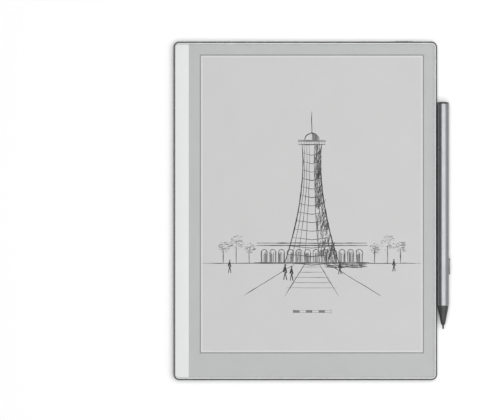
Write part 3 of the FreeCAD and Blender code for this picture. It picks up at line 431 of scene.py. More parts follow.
class NodeSheet:
    """The node sheet of one finish, with short ways to lay out its patterns."""

    def __init__(self, name: str) -> None:
        """Starts a sheet with a shader and the object's own coordinates.

        Args:
            name: The name of the finish.
        """
        self.material = bpy.data.materials.new(name)
        self.material.use_nodes = True
        self.tree = self.material.node_tree
        self.shader = self.tree.nodes["Principled BSDF"]
        self.coords = self.node("ShaderNodeTexCoord").outputs["Object"]

    def node(self, kind: str, **settings: object) -> bpy.types.Node:
        """Adds a node and sets its properties.

        Args:
            kind: The kind of node.
            settings: Its properties, by their names.

        Returns:
            The node.
        """
        made = self.tree.nodes.new(kind)
        for key, value in settings.items():
            setattr(made, key, value)
        return made

    def feed(self, socket: Socket, value: "Socket | float | Sequence[float]") -> None:
        """Links a socket to another, or sets it to a value.

        Args:
            socket: The socket.
            value: What it is linked to, or the value that it gets.
        """
        if isinstance(value, bpy.types.NodeSocket):
            self.tree.links.new(value, socket)
        else:
            socket.default_value = value

    def placed(self, at: Sequence[float] = (0, 0, 0), stretch: Sequence[float] = (1, 1, 1)) -> Socket:
        """Gives coordinates in millimetres, measured from a point and stretched.

        Args:
            at: The point, in millimetres.
            stretch: Size of the pattern along each axis, against its plain size.

        Returns:
            The coordinates.
        """
        mapping = self.node("ShaderNodeMapping", vector_type="POINT")
        self.feed(mapping.inputs["Vector"], self.coords)
        scale = [1 / (MM * value) for value in stretch]
        mapping.inputs["Scale"].default_value = scale
        mapping.inputs["Location"].default_value = [-a / b for a, b in zip(at, stretch)]
        return mapping.outputs["Vector"]

    def noise(self, at: Socket, size: float, detail: float = 3.0, rough: float = 0.5) -> Socket:
        """Gives a cloudy pattern.

        Args:
            at: The coordinates, in millimetres.
            size: About how wide a spot is, in millimetres.
            detail: How many finer layers it has.
            rough: How strong the finer layers are.

        Returns:
            The pattern, from 0 to 1.
        """
        made = self.node("ShaderNodeTexNoise")
        self.feed(made.inputs["Vector"], at)
        made.inputs["Scale"].default_value = 1 / size
        made.inputs["Detail"].default_value = detail
        made.inputs["Roughness"].default_value = rough
        return made.outputs["Fac"]

    def cells(self, at: Socket, size: float) -> Socket:
        """Gives round pits or beads.

        Args:
            at: The coordinates, in millimetres.
            size: About how wide one is, in millimetres.

        Returns:
            The distance from the middle of the nearest one.
        """
        made = self.node("ShaderNodeTexVoronoi", feature="F1")
        self.feed(made.inputs["Vector"], at)
        made.inputs["Scale"].default_value = 1 / size
        return made.outputs["Distance"]

    def waves(self, at: Socket, pitch: float, direction: str, bend: float = 0.0) -> Socket:
        """Gives stripes that repeat after this many millimetres.

        Args:
            at: The coordinates, in millimetres.
            pitch: From one stripe to the next, in millimetres.
            direction: X, Y or Z.
            bend: How far the stripes wander.

        Returns:
            The height of the stripes, from 0 to 1.
        """
        made = self.node("ShaderNodeTexWave", wave_type="BANDS", bands_direction=direction)
        self.feed(made.inputs["Vector"], at)
        made.inputs["Scale"].default_value = math.pi / (10 * pitch)
        made.inputs["Distortion"].default_value = bend
        return made.outputs["Fac"]

    def remap(
        self,
        value: Socket,
        start: tuple[float, float],
        end: tuple[float, float],
        soft: bool = True,
    ) -> Socket:
        """Turns one range of a value into another and stops at both ends.

        Args:
            value: The value.
            start: The range it has.
            end: The range it gets.
            soft: Whether it eases in and out.

        Returns:
            The new value.
        """
        made = self.node("ShaderNodeMapRange", interpolation_type="SMOOTHSTEP" if soft else "LINEAR")
        self.feed(made.inputs["Value"], value)
        numbers = (*start, *end)
        for key, number in zip(("From Min", "From Max", "To Min", "To Max"), numbers):
            made.inputs[key].default_value = number
        return made.outputs["Result"]

    def math(self, operation: str, first: "Socket | float", second: "Socket | float" = 0.0) -> Socket:
        """Works out one step of arithmetic.

        Args:
            operation: The name of the step.
            first: The first number.
            second: The second number.

        Returns:
            The result.
        """
        made = self.node("ShaderNodeMath", operation=operation)
        self.feed(made.inputs[0], first)
        self.feed(made.inputs[1], second)
        return made.outputs["Value"]

    def split(self, vector: Socket) -> tuple[Socket, Socket, Socket]:
        """Gives the three parts of a vector.

        Args:
            vector: The vector.

        Returns:
            Its X, Y and Z.
        """
        made = self.node("ShaderNodeSeparateXYZ")
        self.feed(made.inputs["Vector"], vector)
        return tuple(made.outputs)

    def blend(self, share: Socket, first: "Socket | Colour", second: "Socket | Colour") -> Socket:
        """Mixes two colours.

        Args:
            share: Share of the second colour, from 0 to 1.
            first: The first colour.
            second: The second colour.

        Returns:
            The mixed colour.
        """
        made = self.node("ShaderNodeMix", data_type="RGBA")
        self.feed(made.inputs["Factor"], share)
        for socket, value in ((made.inputs["A"], first), (made.inputs["B"], second)):
            colours = [item for item in made.inputs if item.name == socket.name and item.type == "RGBA"]
            self.feed(colours[0], value if isinstance(value, bpy.types.NodeSocket) else (*value, 1.0))
        return next(item for item in made.outputs if item.type == "RGBA")

    def bump(self, height: Socket, depth: float, under: Socket | None = None) -> Socket:
        """Gives the normal of a relief.

        Args:
            height: The height of the relief, from 0 to 1.
            depth: Its depth, in millimetres.
            under: The normal of a relief under it.

        Returns:
            The normal.
        """
        made = self.node("ShaderNodeBump")
        made.inputs["Strength"].default_value = 1.0
        made.inputs["Distance"].default_value = depth * MM
        self.feed(made.inputs["Height"], height)
        if under is not None:
            self.feed(made.inputs["Normal"], under)
        return made.outputs["Normal"]

    def set(self, **values: object) -> None:
        """Sets or links the shader's own sockets, named with underscores for spaces."""
        for key, value in values.items():
            self.feed(self.shader.inputs[key.replace("_", " ")], value)


def tinted(colour: Colour, share: float) -> Colour:
    """Makes a colour lighter or darker by a share of itself."""
    return tuple(min(1.0, channel * (1 + share)) for channel in colour)


class Grain(Enum):
    """How the skin of a plain finish is worked."""

    BEADED = "beaded"
    BRUSHED_X = "brushed along X"
    BRUSHED_Y = "brushed along Y"
    MOULDED = "moulded"
    WOVEN = "woven"
    WOUND = "wound"


@dataclass(frozen=True)
class Finish:
    """A plain finish: one colour with clouding, a worked skin, and a gloss that varies over it.

    Attributes:
        name: The name of the finish.
        colour: Its colour, as linear red, green and blue.
        grain: How its skin is worked.
        size: Size of the grain, in millimetres.
        depth: Depth of the grain, in millimetres.
        rough: Roughness.
        spread: How much the roughness varies.
        metal: 1 for bare metal, 0 for anything else.
        cloud: How much the colour varies, as a share.
        patch: Size of the clouds, in millimetres.
        coat: Strength of a clear coat.
        alpha: 1 for solid, less for clear film.
        level: Strength of the plain reflection.
    """

    name: str
    colour: Colour
    grain: Grain = Grain.MOULDED
    size: float = 0.4
    depth: float = 0.01
    rough: float = 0.5
    spread: float = 0.06
    metal: float = 0.0
    cloud: float = 0.05
    patch: float = 9.0
    coat: float = 0.0
    alpha: float = 1.0
    level: float = 0.5

    def skin(self, sheet: NodeSheet) -> Socket:
        """Gives the height of the worked skin.

        Args:
            sheet: The finish's node sheet.

        Returns:
            The height.
        """
        if self.grain is Grain.BEADED:
            return sheet.cells(sheet.placed(), self.size)
        if self.grain is Grain.BRUSHED_X:
            return sheet.noise(sheet.placed(stretch=(40, 1, 1)), self.size, 4.0, 0.6)
        if self.grain is Grain.BRUSHED_Y:
            return sheet.noise(sheet.placed(stretch=(1, 40, 1)), self.size, 4.0, 0.6)
        if self.grain is Grain.WOVEN:
            across = sheet.waves(sheet.placed(), self.size, "X")
            return sheet.math("MULTIPLY", across, sheet.waves(sheet.placed(), self.size, "Z"))
        if self.grain is Grain.WOUND:
            return sheet.waves(sheet.placed(), self.size, "Y")
        return sheet.noise(sheet.placed(), self.size, 3.0, 0.6)

    def tint(self, sheet: NodeSheet, skin: Socket) -> Socket:
        """Gives the colour: clouds over the whole piece, and a little of the skin's own relief.

        Args:
            sheet: The finish's node sheet.
            skin: The height of the worked skin.

        Returns:
            The colour.
        """
        clouds = sheet.noise(sheet.placed(), self.patch, 3.0, 0.55)
        share = sheet.math("MULTIPLY_ADD", skin, 0.25)
        sheet.feed(share.node.inputs[2], clouds)
        share = sheet.remap(share, (0.3, 0.95), (0.0, 1.0))
        return sheet.blend(share, tinted(self.colour, -self.cloud), tinted(self.colour, self.cloud))

    def make(self) -> bpy.types.Material:
        """Builds the material.

        Returns:
            The material.
        """
        sheet = NodeSheet(self.name)
        skin = self.skin(sheet)
        wander = sheet.noise(sheet.placed(), self.patch * 0.6, 4.0, 0.6)
        rough = (max(0.02, self.rough - self.spread), self.rough + self.spread)
        sheet.set(
            Base_Color=self.tint(sheet, skin),
            Roughness=sheet.remap(wander, (0.3, 0.7), rough),
            Normal=sheet.bump(skin, self.depth),
            Metallic=self.metal,
            Coat_Weight=self.coat,
            Coat_Roughness=0.25,
            Alpha=self.alpha,
            Specular_IOR_Level=self.level,
        )
        return sheet.material


@dataclass(frozen=True)
class WornMetal(Finish):
    """Metal whose edges are rubbed brighter in small broken patches."""

    bare: Colour = (0.62, 0.62, 0.63)
    wear: float = 0.35

    def tint(self, sheet: NodeSheet, skin: Socket) -> Socket:
        """Gives the colour of the metal with the rubbed patches in it.

        Args:
            sheet: The finish's node sheet.
            skin: The height of the worked skin.

        Returns:
            The colour.
        """
        plain = super().tint(sheet, skin)
        patches = sheet.noise(sheet.placed(stretch=(3, 3, 1)), 1.6, 5.0, 0.65)
        share = sheet.remap(patches, (0.5, 0.72), (0.0, self.wear))
        return sheet.blend(share, plain, self.bare)


@dataclass(frozen=True)
class WindowFinish(Finish):
    """A finish whose colour changes with the distance from the edge of the screen window.

    Attributes:
        window: Left, right, lower and upper side of the window, in millimetres.
        reach: How far from the edge the change reaches, in millimetres; below 0 is inside the window.
        edge: The colour at the edge.
    """

    window: tuple[float, float, float, float] = (0.0, 0.0, 0.0, 0.0)
    reach: tuple[float, float] = (0.1, 0.8)
    # edge: The colour at the edge; on the border it is painted shade.
    edge: Colour = (0.3, 0.3, 0.3)

    def tint(self, sheet: NodeSheet, skin: Socket) -> Socket:
        """Gives the plain colour with a band along the window's edge: painted shade on the border, a
        lighter band on the paper.

        Args:
            sheet: The finish's node sheet.
            skin: The height of the worked skin.

        Returns:
            The colour.
        """
        left, right, low, high = self.window
        x, y, _ = sheet.split(sheet.placed(at=((left + right) / 2, (low + high) / 2, 0)))
        across = sheet.math("SUBTRACT", sheet.math("ABSOLUTE", x), (right - left) / 2)
        up = sheet.math("SUBTRACT", sheet.math("ABSOLUTE", y), (high - low) / 2)
        away = sheet.math("MAXIMUM", across, up)
        share = sheet.remap(away, self.reach, (1.0, 0.0) if self.reach[1] > 0 else (0.0, 1.0))
        return sheet.blend(share, super().tint(sheet, skin), self.edge)


@dataclass(frozen=True)
class PaperFinish(WindowFinish):
    """The display's paper-like face: fine fibres and a brighter band along the window."""

    def skin(self, sheet: NodeSheet) -> Socket:
        """Gives the height of the fibres.

        Args:
            sheet: The finish's node sheet.

        Returns:
            The height.
        """
        along = sheet.noise(sheet.placed(stretch=(5, 1, 1)), 0.35, 4.0, 0.6)
        across = sheet.noise(sheet.placed(at=(3, 5, 0), stretch=(1, 6, 1)), 0.35, 4.0, 0.6)
        return sheet.math("MAXIMUM", along, across)


@dataclass(frozen=True)
class BoardFinish(Finish):
    """Solder mask with copper tracks under it and tinned pads that stand proud."""

    track: Colour = (0.05, 0.22, 0.12)
    pad: Colour = (0.72, 0.68, 0.58)

    def make(self) -> bpy.types.Material:
        """Builds the material.

        Returns:
            The material.
        """
        sheet = NodeSheet(self.name)
        brick = sheet.node("ShaderNodeTexBrick")
        sheet.feed(brick.inputs["Vector"], sheet.placed(stretch=(2.6, 1.3, 1)))
        brick.inputs["Scale"].default_value = 1.0
        brick.inputs["Mortar Size"].default_value = 0.09
        brick.inputs["Mortar Smooth"].default_value = 0.2
        tracks = brick.outputs["Fac"]
        spots = sheet.remap(sheet.cells(sheet.placed(), 2.4), (0.13, 0.18), (1.0, 0.0))
        clouds = sheet.noise(sheet.placed(), self.patch, 3.0)
        mask = sheet.blend(clouds, tinted(self.colour, -0.2), tinted(self.colour, 0.2))
        face = sheet.blend(spots, sheet.blend(tracks, mask, self.track), self.pad)
        height = sheet.math("ADD", tracks, sheet.math("MULTIPLY", spots, 1.5))
        sheet.set(
            Base_Color=face,
            Metallic=sheet.math("MULTIPLY", spots, 0.9),
            Roughness=sheet.remap(clouds, (0.3, 0.7), (0.28, 0.4)),
            Normal=sheet.bump(height, 0.03),
            Specular_IOR_Level=0.5,
        )
        return sheet.material


@dataclass(frozen=True)
class StripedFinish(Finish):
    """Copper lines under amber film, or any other finish with fine parallel lines."""

    line: Colour = (0.5, 0.26, 0.08)
    pitch: float = 0.7
    direction: str = "X"

    def tint(self, sheet: NodeSheet, skin: Socket) -> Socket:
        """Gives the colour of the film with the lines in it.

        Args:
            sheet: The finish's node sheet.
            skin: The height of the worked skin.

        Returns:
            The colour.
        """
        waves = sheet.waves(sheet.placed(), self.pitch, self.direction)
        lines = sheet.remap(waves, (0.45, 0.6), (0, 1))
        return sheet.blend(lines, super().tint(sheet, skin), self.line)


@dataclass(frozen=True)
class InkFinish(Finish):
    """Pencil and ink: darker where the tip pressed, broken by the paper's fibres."""

    light: Colour = (0.3, 0.3, 0.3)

    def tint(self, sheet: NodeSheet, skin: Socket) -> Socket:
        """Gives the colour of the stroke with the paper showing through in grains.

        Args:
            sheet: The finish's node sheet.
            skin: The height of the worked skin; not used.

        Returns:
            The colour.
        """
        grains = sheet.noise(sheet.placed(), 0.25, 3.0, 0.7)
        press = sheet.noise(sheet.placed(), 3.0, 2.0)
        share = sheet.math("MULTIPLY", sheet.remap(grains, (0.45, 0.7), (0, 1)), press)
        return sheet.blend(share, self.colour, self.light)


WINDOW = (-72.5, 81.6, -98.2, 107.8)

FINISHES = (
    Finish(
        "case_beaded", (0.165, 0.168, 0.173), Grain.BEADED,
        size=0.14, depth=0.0014, rough=0.38, spread=0.05, metal=1.0, cloud=0.06,
    ),
    # The edge finish is the case metal made darker: painted shade on the front edge's rounding, with
    # rubbed patches of wear.
    WornMetal(
        "case_edge_shade_and_wear", (0.105, 0.107, 0.111), Grain.BEADED,
        size=0.14, depth=0.001, rough=0.34, spread=0.05, metal=1.0, wear=0.12,
    ),
    Finish(
        "rim_polished", (0.285, 0.288, 0.292), Grain.BRUSHED_Y,
        size=0.12, depth=0.0004, rough=0.25, spread=0.05, metal=1.0, cloud=0.03,
    ),
    Finish(
        "back_paint", (0.55, 0.555, 0.562), Grain.MOULDED,
        size=0.16, depth=0.006, rough=0.52, spread=0.06, cloud=0.018, patch=22.0,
    ),
    Finish(
        "strip_matt", (0.668, 0.678, 0.671), Grain.MOULDED,
        size=0.2, depth=0.006, rough=0.5, spread=0.05, cloud=0.012, patch=15.0,
    ),
    Finish(
        "lens_etched", (0.8, 0.8, 0.8), Grain.BEADED,
        size=0.09, depth=0.003, rough=0.42, spread=0.04, alpha=0.022, level=0.3,
    ),
    # The border darkens in a thin line along the window's edge: painted shade.
    WindowFinish(
        "border_grey_edge_shade", (0.418, 0.425, 0.422), Grain.MOULDED,
        size=0.22, depth=0.004, rough=0.55, spread=0.05, cloud=0.014, patch=18.0, window=WINDOW,
        reach=(0.35, 1.05), edge=(0.2, 0.2, 0.2),
    ),
    PaperFinish(
        "screen_paper", (0.592, 0.592, 0.59), Grain.MOULDED,
        size=0.3, depth=0.004, rough=0.62, spread=0.05, cloud=0.014, patch=30.0, window=WINDOW,
        reach=(-1.7, -0.7), edge=(0.69, 0.69, 0.69),
    ),
    InkFinish(
        "ink_dark", (0.009, 0.009, 0.01),
        rough=0.6, light=(0.035, 0.035, 0.035), level=0.05,
    ),
    InkFinish(
        "ink_soft", (0.05, 0.05, 0.053),
        rough=0.65, light=(0.19, 0.19, 0.19), level=0.05,
    ),
    InkFinish(
        "ink_faint", (0.22, 0.22, 0.225),
        rough=0.7, light=(0.42, 0.42, 0.42), level=0.1,
    ),
    Finish(
        "pen_satin", (0.285, 0.289, 0.297), Grain.BRUSHED_Y,
        size=0.1, depth=0.0004, rough=0.31, spread=0.04, metal=1.0, cloud=0.04,
    ),
    WornMetal(
        "pen_bevel", (0.5, 0.505, 0.51), Grain.BEADED,
        size=0.1, depth=0.0005, rough=0.2, spread=0.05, metal=1.0,
    ),
    Finish(
        "cone_black", (0.035, 0.035, 0.037), Grain.MOULDED,
        size=0.18, depth=0.006, rough=0.42, spread=0.06, cloud=0.12, patch=4.0,
    ),
    Finish(
        "cap_dark", (0.02, 0.02, 0.022), Grain.BEADED,
        size=0.15, depth=0.003, rough=0.42, spread=0.06, cloud=0.1, patch=3.0, level=0.3,
    ),
    Finish(
        "nib_black", (0.012, 0.012, 0.012), Grain.MOULDED,
        size=0.1, depth=0.004, rough=0.55, spread=0.06, cloud=0.15, patch=1.0, level=0.25,
    ),
    WornMetal(
        "key_dark", (0.12, 0.122, 0.126), Grain.BEADED,
        size=0.12, depth=0.001, rough=0.35, spread=0.05, metal=1.0, wear=0.15,
    ),
    WornMetal(
        "button_satin", (0.18, 0.183, 0.188), Grain.BRUSHED_X,
        size=0.1, depth=0.0004, rough=0.3, spread=0.05, metal=1.0, wear=0.2,
    ),
    Finish(
        "inlet_steel", (0.58, 0.58, 0.585), Grain.BRUSHED_Y,
        size=0.12, depth=0.0008, rough=0.3, spread=0.07, metal=1.0,
    ),
    Finish(
        "tongue_black", (0.02, 0.02, 0.021), Grain.MOULDED,
        size=0.15, depth=0.004, rough=0.4, spread=0.05, cloud=0.1, patch=2.0,
    ),
    Finish(
        "contact_gold", (0.85, 0.62, 0.28), Grain.BRUSHED_Y,
        size=0.1, depth=0.0005, rough=0.22, spread=0.05, metal=1.0,
    ),
    Finish(
        "tape_black", (0.04, 0.04, 0.043), Grain.WOVEN,
        size=0.5, depth=0.01, rough=0.7, spread=0.06, cloud=0.1,
    ),
    Finish(
        "film_clear", (0.9, 0.9, 0.92), Grain.MOULDED,
        size=0.8, depth=0.002, rough=0.15, spread=0.04, alpha=0.01, level=0.3,
    ),
    BoardFinish(
        "board_green", (0.02, 0.12, 0.065),
        patch=14.0,
    ),
    StripedFinish(
        "ribbon_amber", (0.36, 0.17, 0.035),
        size=0.5, depth=0.004, rough=0.3, coat=0.3,
    ),
    Finish(
        "can_tin", (0.62, 0.62, 0.6), Grain.BRUSHED_X,
        size=0.15, depth=0.005, rough=0.3, spread=0.08, metal=1.0, cloud=0.08,
    ),
    Finish(
        "chip_epoxy", (0.02, 0.02, 0.022), Grain.BEADED,
        size=0.1, depth=0.005, rough=0.45, spread=0.06, cloud=0.15, patch=3.0,
    ),
    Finish(
        "graphite_foil", (0.05, 0.05, 0.054), Grain.BRUSHED_X,
        size=0.4, depth=0.008, rough=0.4, spread=0.1, metal=0.6, cloud=0.25,
    ),
    Finish(
        "socket_cream", (0.72, 0.68, 0.56), Grain.MOULDED,
        size=0.2, depth=0.006, rough=0.45, spread=0.05, cloud=0.06, patch=3.0,
    ),
    Finish(
        "screw_zinc", (0.52, 0.52, 0.53), Grain.BEADED,
        size=0.12, depth=0.004, rough=0.28, spread=0.08, metal=1.0, patch=1.5,
    ),
    Finish(
        "cell_foil", (0.56, 0.57, 0.58), Grain.WOVEN,
        size=1.1, depth=0.01, rough=0.38, spread=0.08, metal=0.8, cloud=0.08, patch=25.0,
    ),
    Finish(
        "speaker_black", (0.03, 0.03, 0.032), Grain.BEADED,
        size=0.3, depth=0.01, rough=0.5, spread=0.06, cloud=0.12,
    ),
    Finish(
        "foam_black", (0.035, 0.035, 0.036), Grain.BEADED,
        size=0.25, depth=0.06, rough=0.85, spread=0.05, cloud=0.2, patch=2.0,
    ),
    Finish(
        "antenna_copper", (0.75, 0.4, 0.22), Grain.BRUSHED_Y,
        size=0.2, depth=0.003, rough=0.3, spread=0.07, metal=1.0,
    ),
    Finish(
        "switch_black", (0.05, 0.05, 0.052), Grain.MOULDED,
        size=0.15, depth=0.005, rough=0.4, spread=0.05, cloud=0.1, patch=1.5,
    ),
    Finish(
        "magnet_nickel", (0.66, 0.64, 0.6), Grain.BEADED,
        size=0.2, depth=0.002, rough=0.16, spread=0.05, metal=1.0, patch=4.0,
    ),
    Finish(
        "ferrite_grey", (0.045, 0.045, 0.048), Grain.BEADED,
        size=0.12, depth=0.02, rough=0.65, spread=0.08, cloud=0.2, patch=1.5,
    ),
    Finish(
        "coil_enamel", (0.55, 0.2, 0.07), Grain.WOUND,
        size=0.16, depth=0.05, rough=0.25, spread=0.05, metal=0.9, cloud=0.12,
    ),
    Finish(
        "sensor_resin", (0.5, 0.44, 0.26), Grain.MOULDED,
        size=0.2, depth=0.006, rough=0.4, spread=0.05, cloud=0.08, patch=2.0,
    ),
    Finish(
        "frame_dark", (0.08, 0.08, 0.086), Grain.MOULDED,
        size=0.25, depth=0.008, rough=0.5, spread=0.06, cloud=0.1, patch=5.0,
    ),
    Finish(
        "mesh_steel", (0.3, 0.3, 0.31), Grain.BRUSHED_X,
        size=0.1, depth=0.003, rough=0.4, spread=0.06, metal=1.0,
    ),
    Finish(
        "floor_pale", (0.93, 0.93, 0.93), Grain.MOULDED,
        size=2.0, depth=0.02, rough=0.75, spread=0.05, cloud=0.004, patch=400.0,
    ),
)

# Which finish each CAD node that stays in view, or stays inside, gets.
NODE_FINISHES = {
    "lens_mask": "border_grey_edge_shade",
    "epaper_panel": "screen_paper",
    "touch_sensor": "film_clear",
    "rear_tape": "tape_black",
    "lens_tape": "tape_black",
    "battery_tape": "tape_black",
    "digitizer_board": "board_green",
    "main_board": "board_green",
    "battery_guard_board": "board_green",
    "stylus_board": "board_green",
    "display_flex": "ribbon_amber",
    "touch_flex": "ribbon_amber",
    "digitizer_flex": "ribbon_amber",
    "battery_lead": "ribbon_amber",
    "button_flex": "ribbon_amber",
    "processor_shield": "can_tin",
    "power_shield": "can_tin",
    "wireless_module": "can_tin",
    "microphones": "can_tin",
    "processor_chip": "chip_epoxy",
    "memory_chips": "chip_epoxy",
    "graphite_sheet": "graphite_foil",
    "flex_sockets": "socket_cream",
    "board_screws": "screw_zinc",
    "battery_cell": "cell_foil",
    "speaker_left": "speaker_black",
    "speaker_right": "speaker_black",
    "speaker_gaskets": "foam_black",
    "antennas": "antenna_copper",
    "button_switch": "switch_black",
    "stylus_key_switch": "switch_black",
    "case_magnets": "magnet_nickel",
    "stylus_magnets": "magnet_nickel",
    "stylus_ferrite": "ferrite_grey",
    "stylus_coil": "coil_enamel",
    "stylus_pressure_sensor": "sensor_resin",
    "stylus_inner_frame": "frame_dark",
    "stylus_nib_holder": "frame_dark",
}


class Palette:
    """All finishes, made once."""

    def __init__(self, finishes: Sequence[Finish]) -> None:
        """Makes every finish."""
        self.made = {finish.name: finish.make() for finish in finishes}

    def __getitem__(self, name: str) -> bpy.types.Material:
        """Gives a finish by its name."""
        return self.made[name]

    def dress_nodes(self, choices: dict[str, str]) -> None:
        """Gives CAD nodes their finishes.

        Args:
            choices: The name of the finish for each node.
        """
        for node, finish in choices.items():
            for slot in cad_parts[node].material_slots:
                slot.material = self[finish]
            log.info("%s: finish %s", node, finish)


# Sub-assemblies


@dataclass
class Chassis:
    """The metal frame: rounded wall, front bay, screen well, back bay, cavity and all openings.

    Attributes:
        corner: Radius of the outer corners.
        edge: Radius of the outer edges.
        seat: Gap round what sits in the bays.
        inner_corner: Radius of the bays' corners.
        pocket_corner: Radius of the deeper pockets' corners.
        front_ledge: Width of the ledge under the lens.
        back_ledge: Width of the ledge over the rear cover.
        web: Thickness of the web.
        boss: Radius of a screw boss.
        bore: Radius of the hole in a boss.
        sound_pitch: Distance between sound holes.
        sound_radius: Radius of a sound hole.
        sound_level: Height of the sound holes.
        mic_radius: Radius of a microphone hole.
        mic_level: Height of the microphone holes.
        over: How far a cutter stands out of what it cuts.
    """

    palette: Palette
    corner: float = 4.0
    edge: float = 1.0
    seat: float = 0.1
    inner_corner: float = 2.1
    pocket_corner: float = 1.5
    front_ledge: float = 1.6
    back_ledge: float = 1.2
    web: float = 0.35
    boss: float = 1.6
    bore: float = 0.75
    sound_pitch: float = 2.0
    sound_radius: float = 0.5
    sound_level: float = 1.7
    mic_radius: float = 0.4
    mic_level: float = 1.45
    over: float = 0.5

    def build(self) -> None:
        """Builds the frame and hands it over."""
        low, high = cad_box("mid_frame")
        body = Bench.slab(
            "chassis",
            low,
            high,
            self.corner,
            low_edge=self.edge,
            high_edge=self.edge,
            steps=16,
            edge_steps=7,
        )
        for cutter in self.bays(high) + self.openings(low, high):
            Bench.combine(body, cutter, "DIFFERENCE")
        for side, up in self.screw_places():
            self.add_boss(body, side, up)
        self.tidy(body)
        self.dress(body, high)
        hand_over(body, Body.TABLET, "case_metal", "mid_frame")

    def bays(self, high: Vector) -> list[bpy.types.Object]:
        """Makes the cutters of the front bay, the screen well, the back bay and the cavity.

        Args:
            high: The frame's highest corner.

        Returns:
            The cutters.
        """
        strip, lens = cad_box("spine_trim"), cad_box("cover_lens")
        sensor, cell = cad_box("digitizer_board"), cad_box("battery_tape")
        tape = cad_box("rear_tape")
        right, top = lens[1].x + self.seat, lens[1].y + self.seat
        cavity_x, cavity_y = right - self.back_ledge, top - self.back_ledge
        well = (strip[1].x + self.front_ledge, right - self.front_ledge, top - self.front_ledge)
        return [
            Bench.slab(
                "front_bay",
                (strip[0].x - self.seat, -top, strip[0].z),
                (right, top, high.z + self.over),
                self.inner_corner,
            ),
            Bench.slab(
                "screen_well",
                (well[0], -well[2], sensor[0].z),
                (well[1], well[2], strip[0].z + self.over),
                self.pocket_corner,
            ),
            Bench.slab(
                "back_bay",
                (-right, -top, -self.over),
                (right, top, tape[1].z),
                self.inner_corner,
            ),
            Bench.slab(
                "cavity",
                (-cavity_x, -cavity_y, tape[1].z - self.over),
                (cavity_x, cavity_y, cell[1].z),
                self.pocket_corner,
            ),
        ]

    def openings(self, low: Vector, high: Vector) -> list[bpy.types.Object]:
        """Makes the cutters of every opening in the walls and the web.

        Args:
            low: The frame's lowest corner.
            high: The frame's highest corner.

        Returns:
            The cutters.
        """
        return [
            *self.inlet_cutters(low),
            *self.button_cutters(high),
            self.sound_cutter(low),
            self.ribbon_cutter(),
            self.pocket_cutter(),
        ]

    def inlet_cutters(self, low: Vector) -> list[bpy.types.Object]:
        """Makes the cutters of the charging inlet's mouth and of its pocket.

        Args:
            low: The frame's lowest corner.

        Returns:
            The cutters.
        """
        shell_low, shell_high = cad_box("usb_shell")
        gap, seat = 0.05, cad_box("lens_tape")[0].z
        mouth = Bench.slab(
            "inlet_mouth",
            (shell_low.x - gap, low.y - self.over, shell_low.z - gap),
            (shell_high.x + gap, low.y + 2 + self.over, shell_high.z + gap),
            (shell_high.z - shell_low.z) / 2 - gap,
            Axis.Y,
        )
        pocket_low = (shell_low.x - gap, low.y + 1.9, cad_box("rear_tape")[1].z - gap)
        pocket_high = (shell_high.x + gap, shell_high.y + gap, seat)
        return [mouth, Bench.block("inlet_pocket", pocket_low, pocket_high)]

    def button_cutters(self, high: Vector) -> list[bpy.types.Object]:
        """Makes the cutters of the power button's slot and of the recess behind it.

        Args:
            high: The frame's highest corner.

        Returns:
            The cutters.
        """
        flange_low, flange_high = cad_box("power_button")
        gap, reach, lip, wall = 0.08, 0.8, 0.2, 1.5
        slot = Bench.slab(
            "button_slot",
            (flange_low.x + reach - gap, high.y - wall - self.over, flange_low.z + lip - gap),
            (flange_high.x - reach + gap, high.y + self.over, flange_high.z - lip + gap),
            0.68,
            Axis.Y,
        )
        recess_low = (flange_low.x - gap, cad_box("rear_cover")[1].y - 2, cad_box("rear_tape")[1].z)
        recess_high = (flange_high.x + gap, high.y - wall, cad_box("battery_tape")[1].z)
        return [slot, Bench.block("button_recess", recess_low, recess_high)]

    def sound_cutter(self, low: Vector) -> bpy.types.Object:
        """Makes one cutter of all sound holes and microphone holes in the bottom wall.

        Args:
            low: The frame's lowest corner.

        Returns:
            The cutter.
        """
        holes, middle, length, sides = [], low.y + 1.5, 4.4, 24
        for node in ("speaker_left", "speaker_right"):
            box_low, box_high = cad_box(node)
            for number in range(8):
                along = (box_low.x + box_high.x) / 2 + (number - 3.5) * self.sound_pitch
                place = (along, middle, self.sound_level)
                holes.append(Bench.rod("hole", Axis.Y, place, self.sound_radius, length, sides))
        inlet_low, inlet_high = cad_box("usb_shell")
        for side in (-13.0, 13.0):
            place = ((inlet_low.x + inlet_high.x) / 2 + side, middle, self.mic_level)
            holes.append(Bench.rod("hole", Axis.Y, place, self.mic_radius, length, sides))
        return Bench.join("sound_holes", holes)

    def ribbon_cutter(self) -> bpy.types.Object:
        """Makes one cutter of the slots in the web that the screen's ribbons pass.

        Returns:
            The cutter.
        """
        blocks = []
        for node in ("display_flex", "touch_flex", "digitizer_flex"):
            low, high = cad_box(node)
            level = cad_box("digitizer_board")[0].z
            slot_low = (low.x - 1.0, low.y - 1.0, level - self.web - self.over / 2)
            slot_high = (high.x + 1.0, low.y + 1.15, level + self.over / 2)
            blocks.append(Bench.block("slot", slot_low, slot_high))
        return Bench.join("ribbon_slots", blocks)

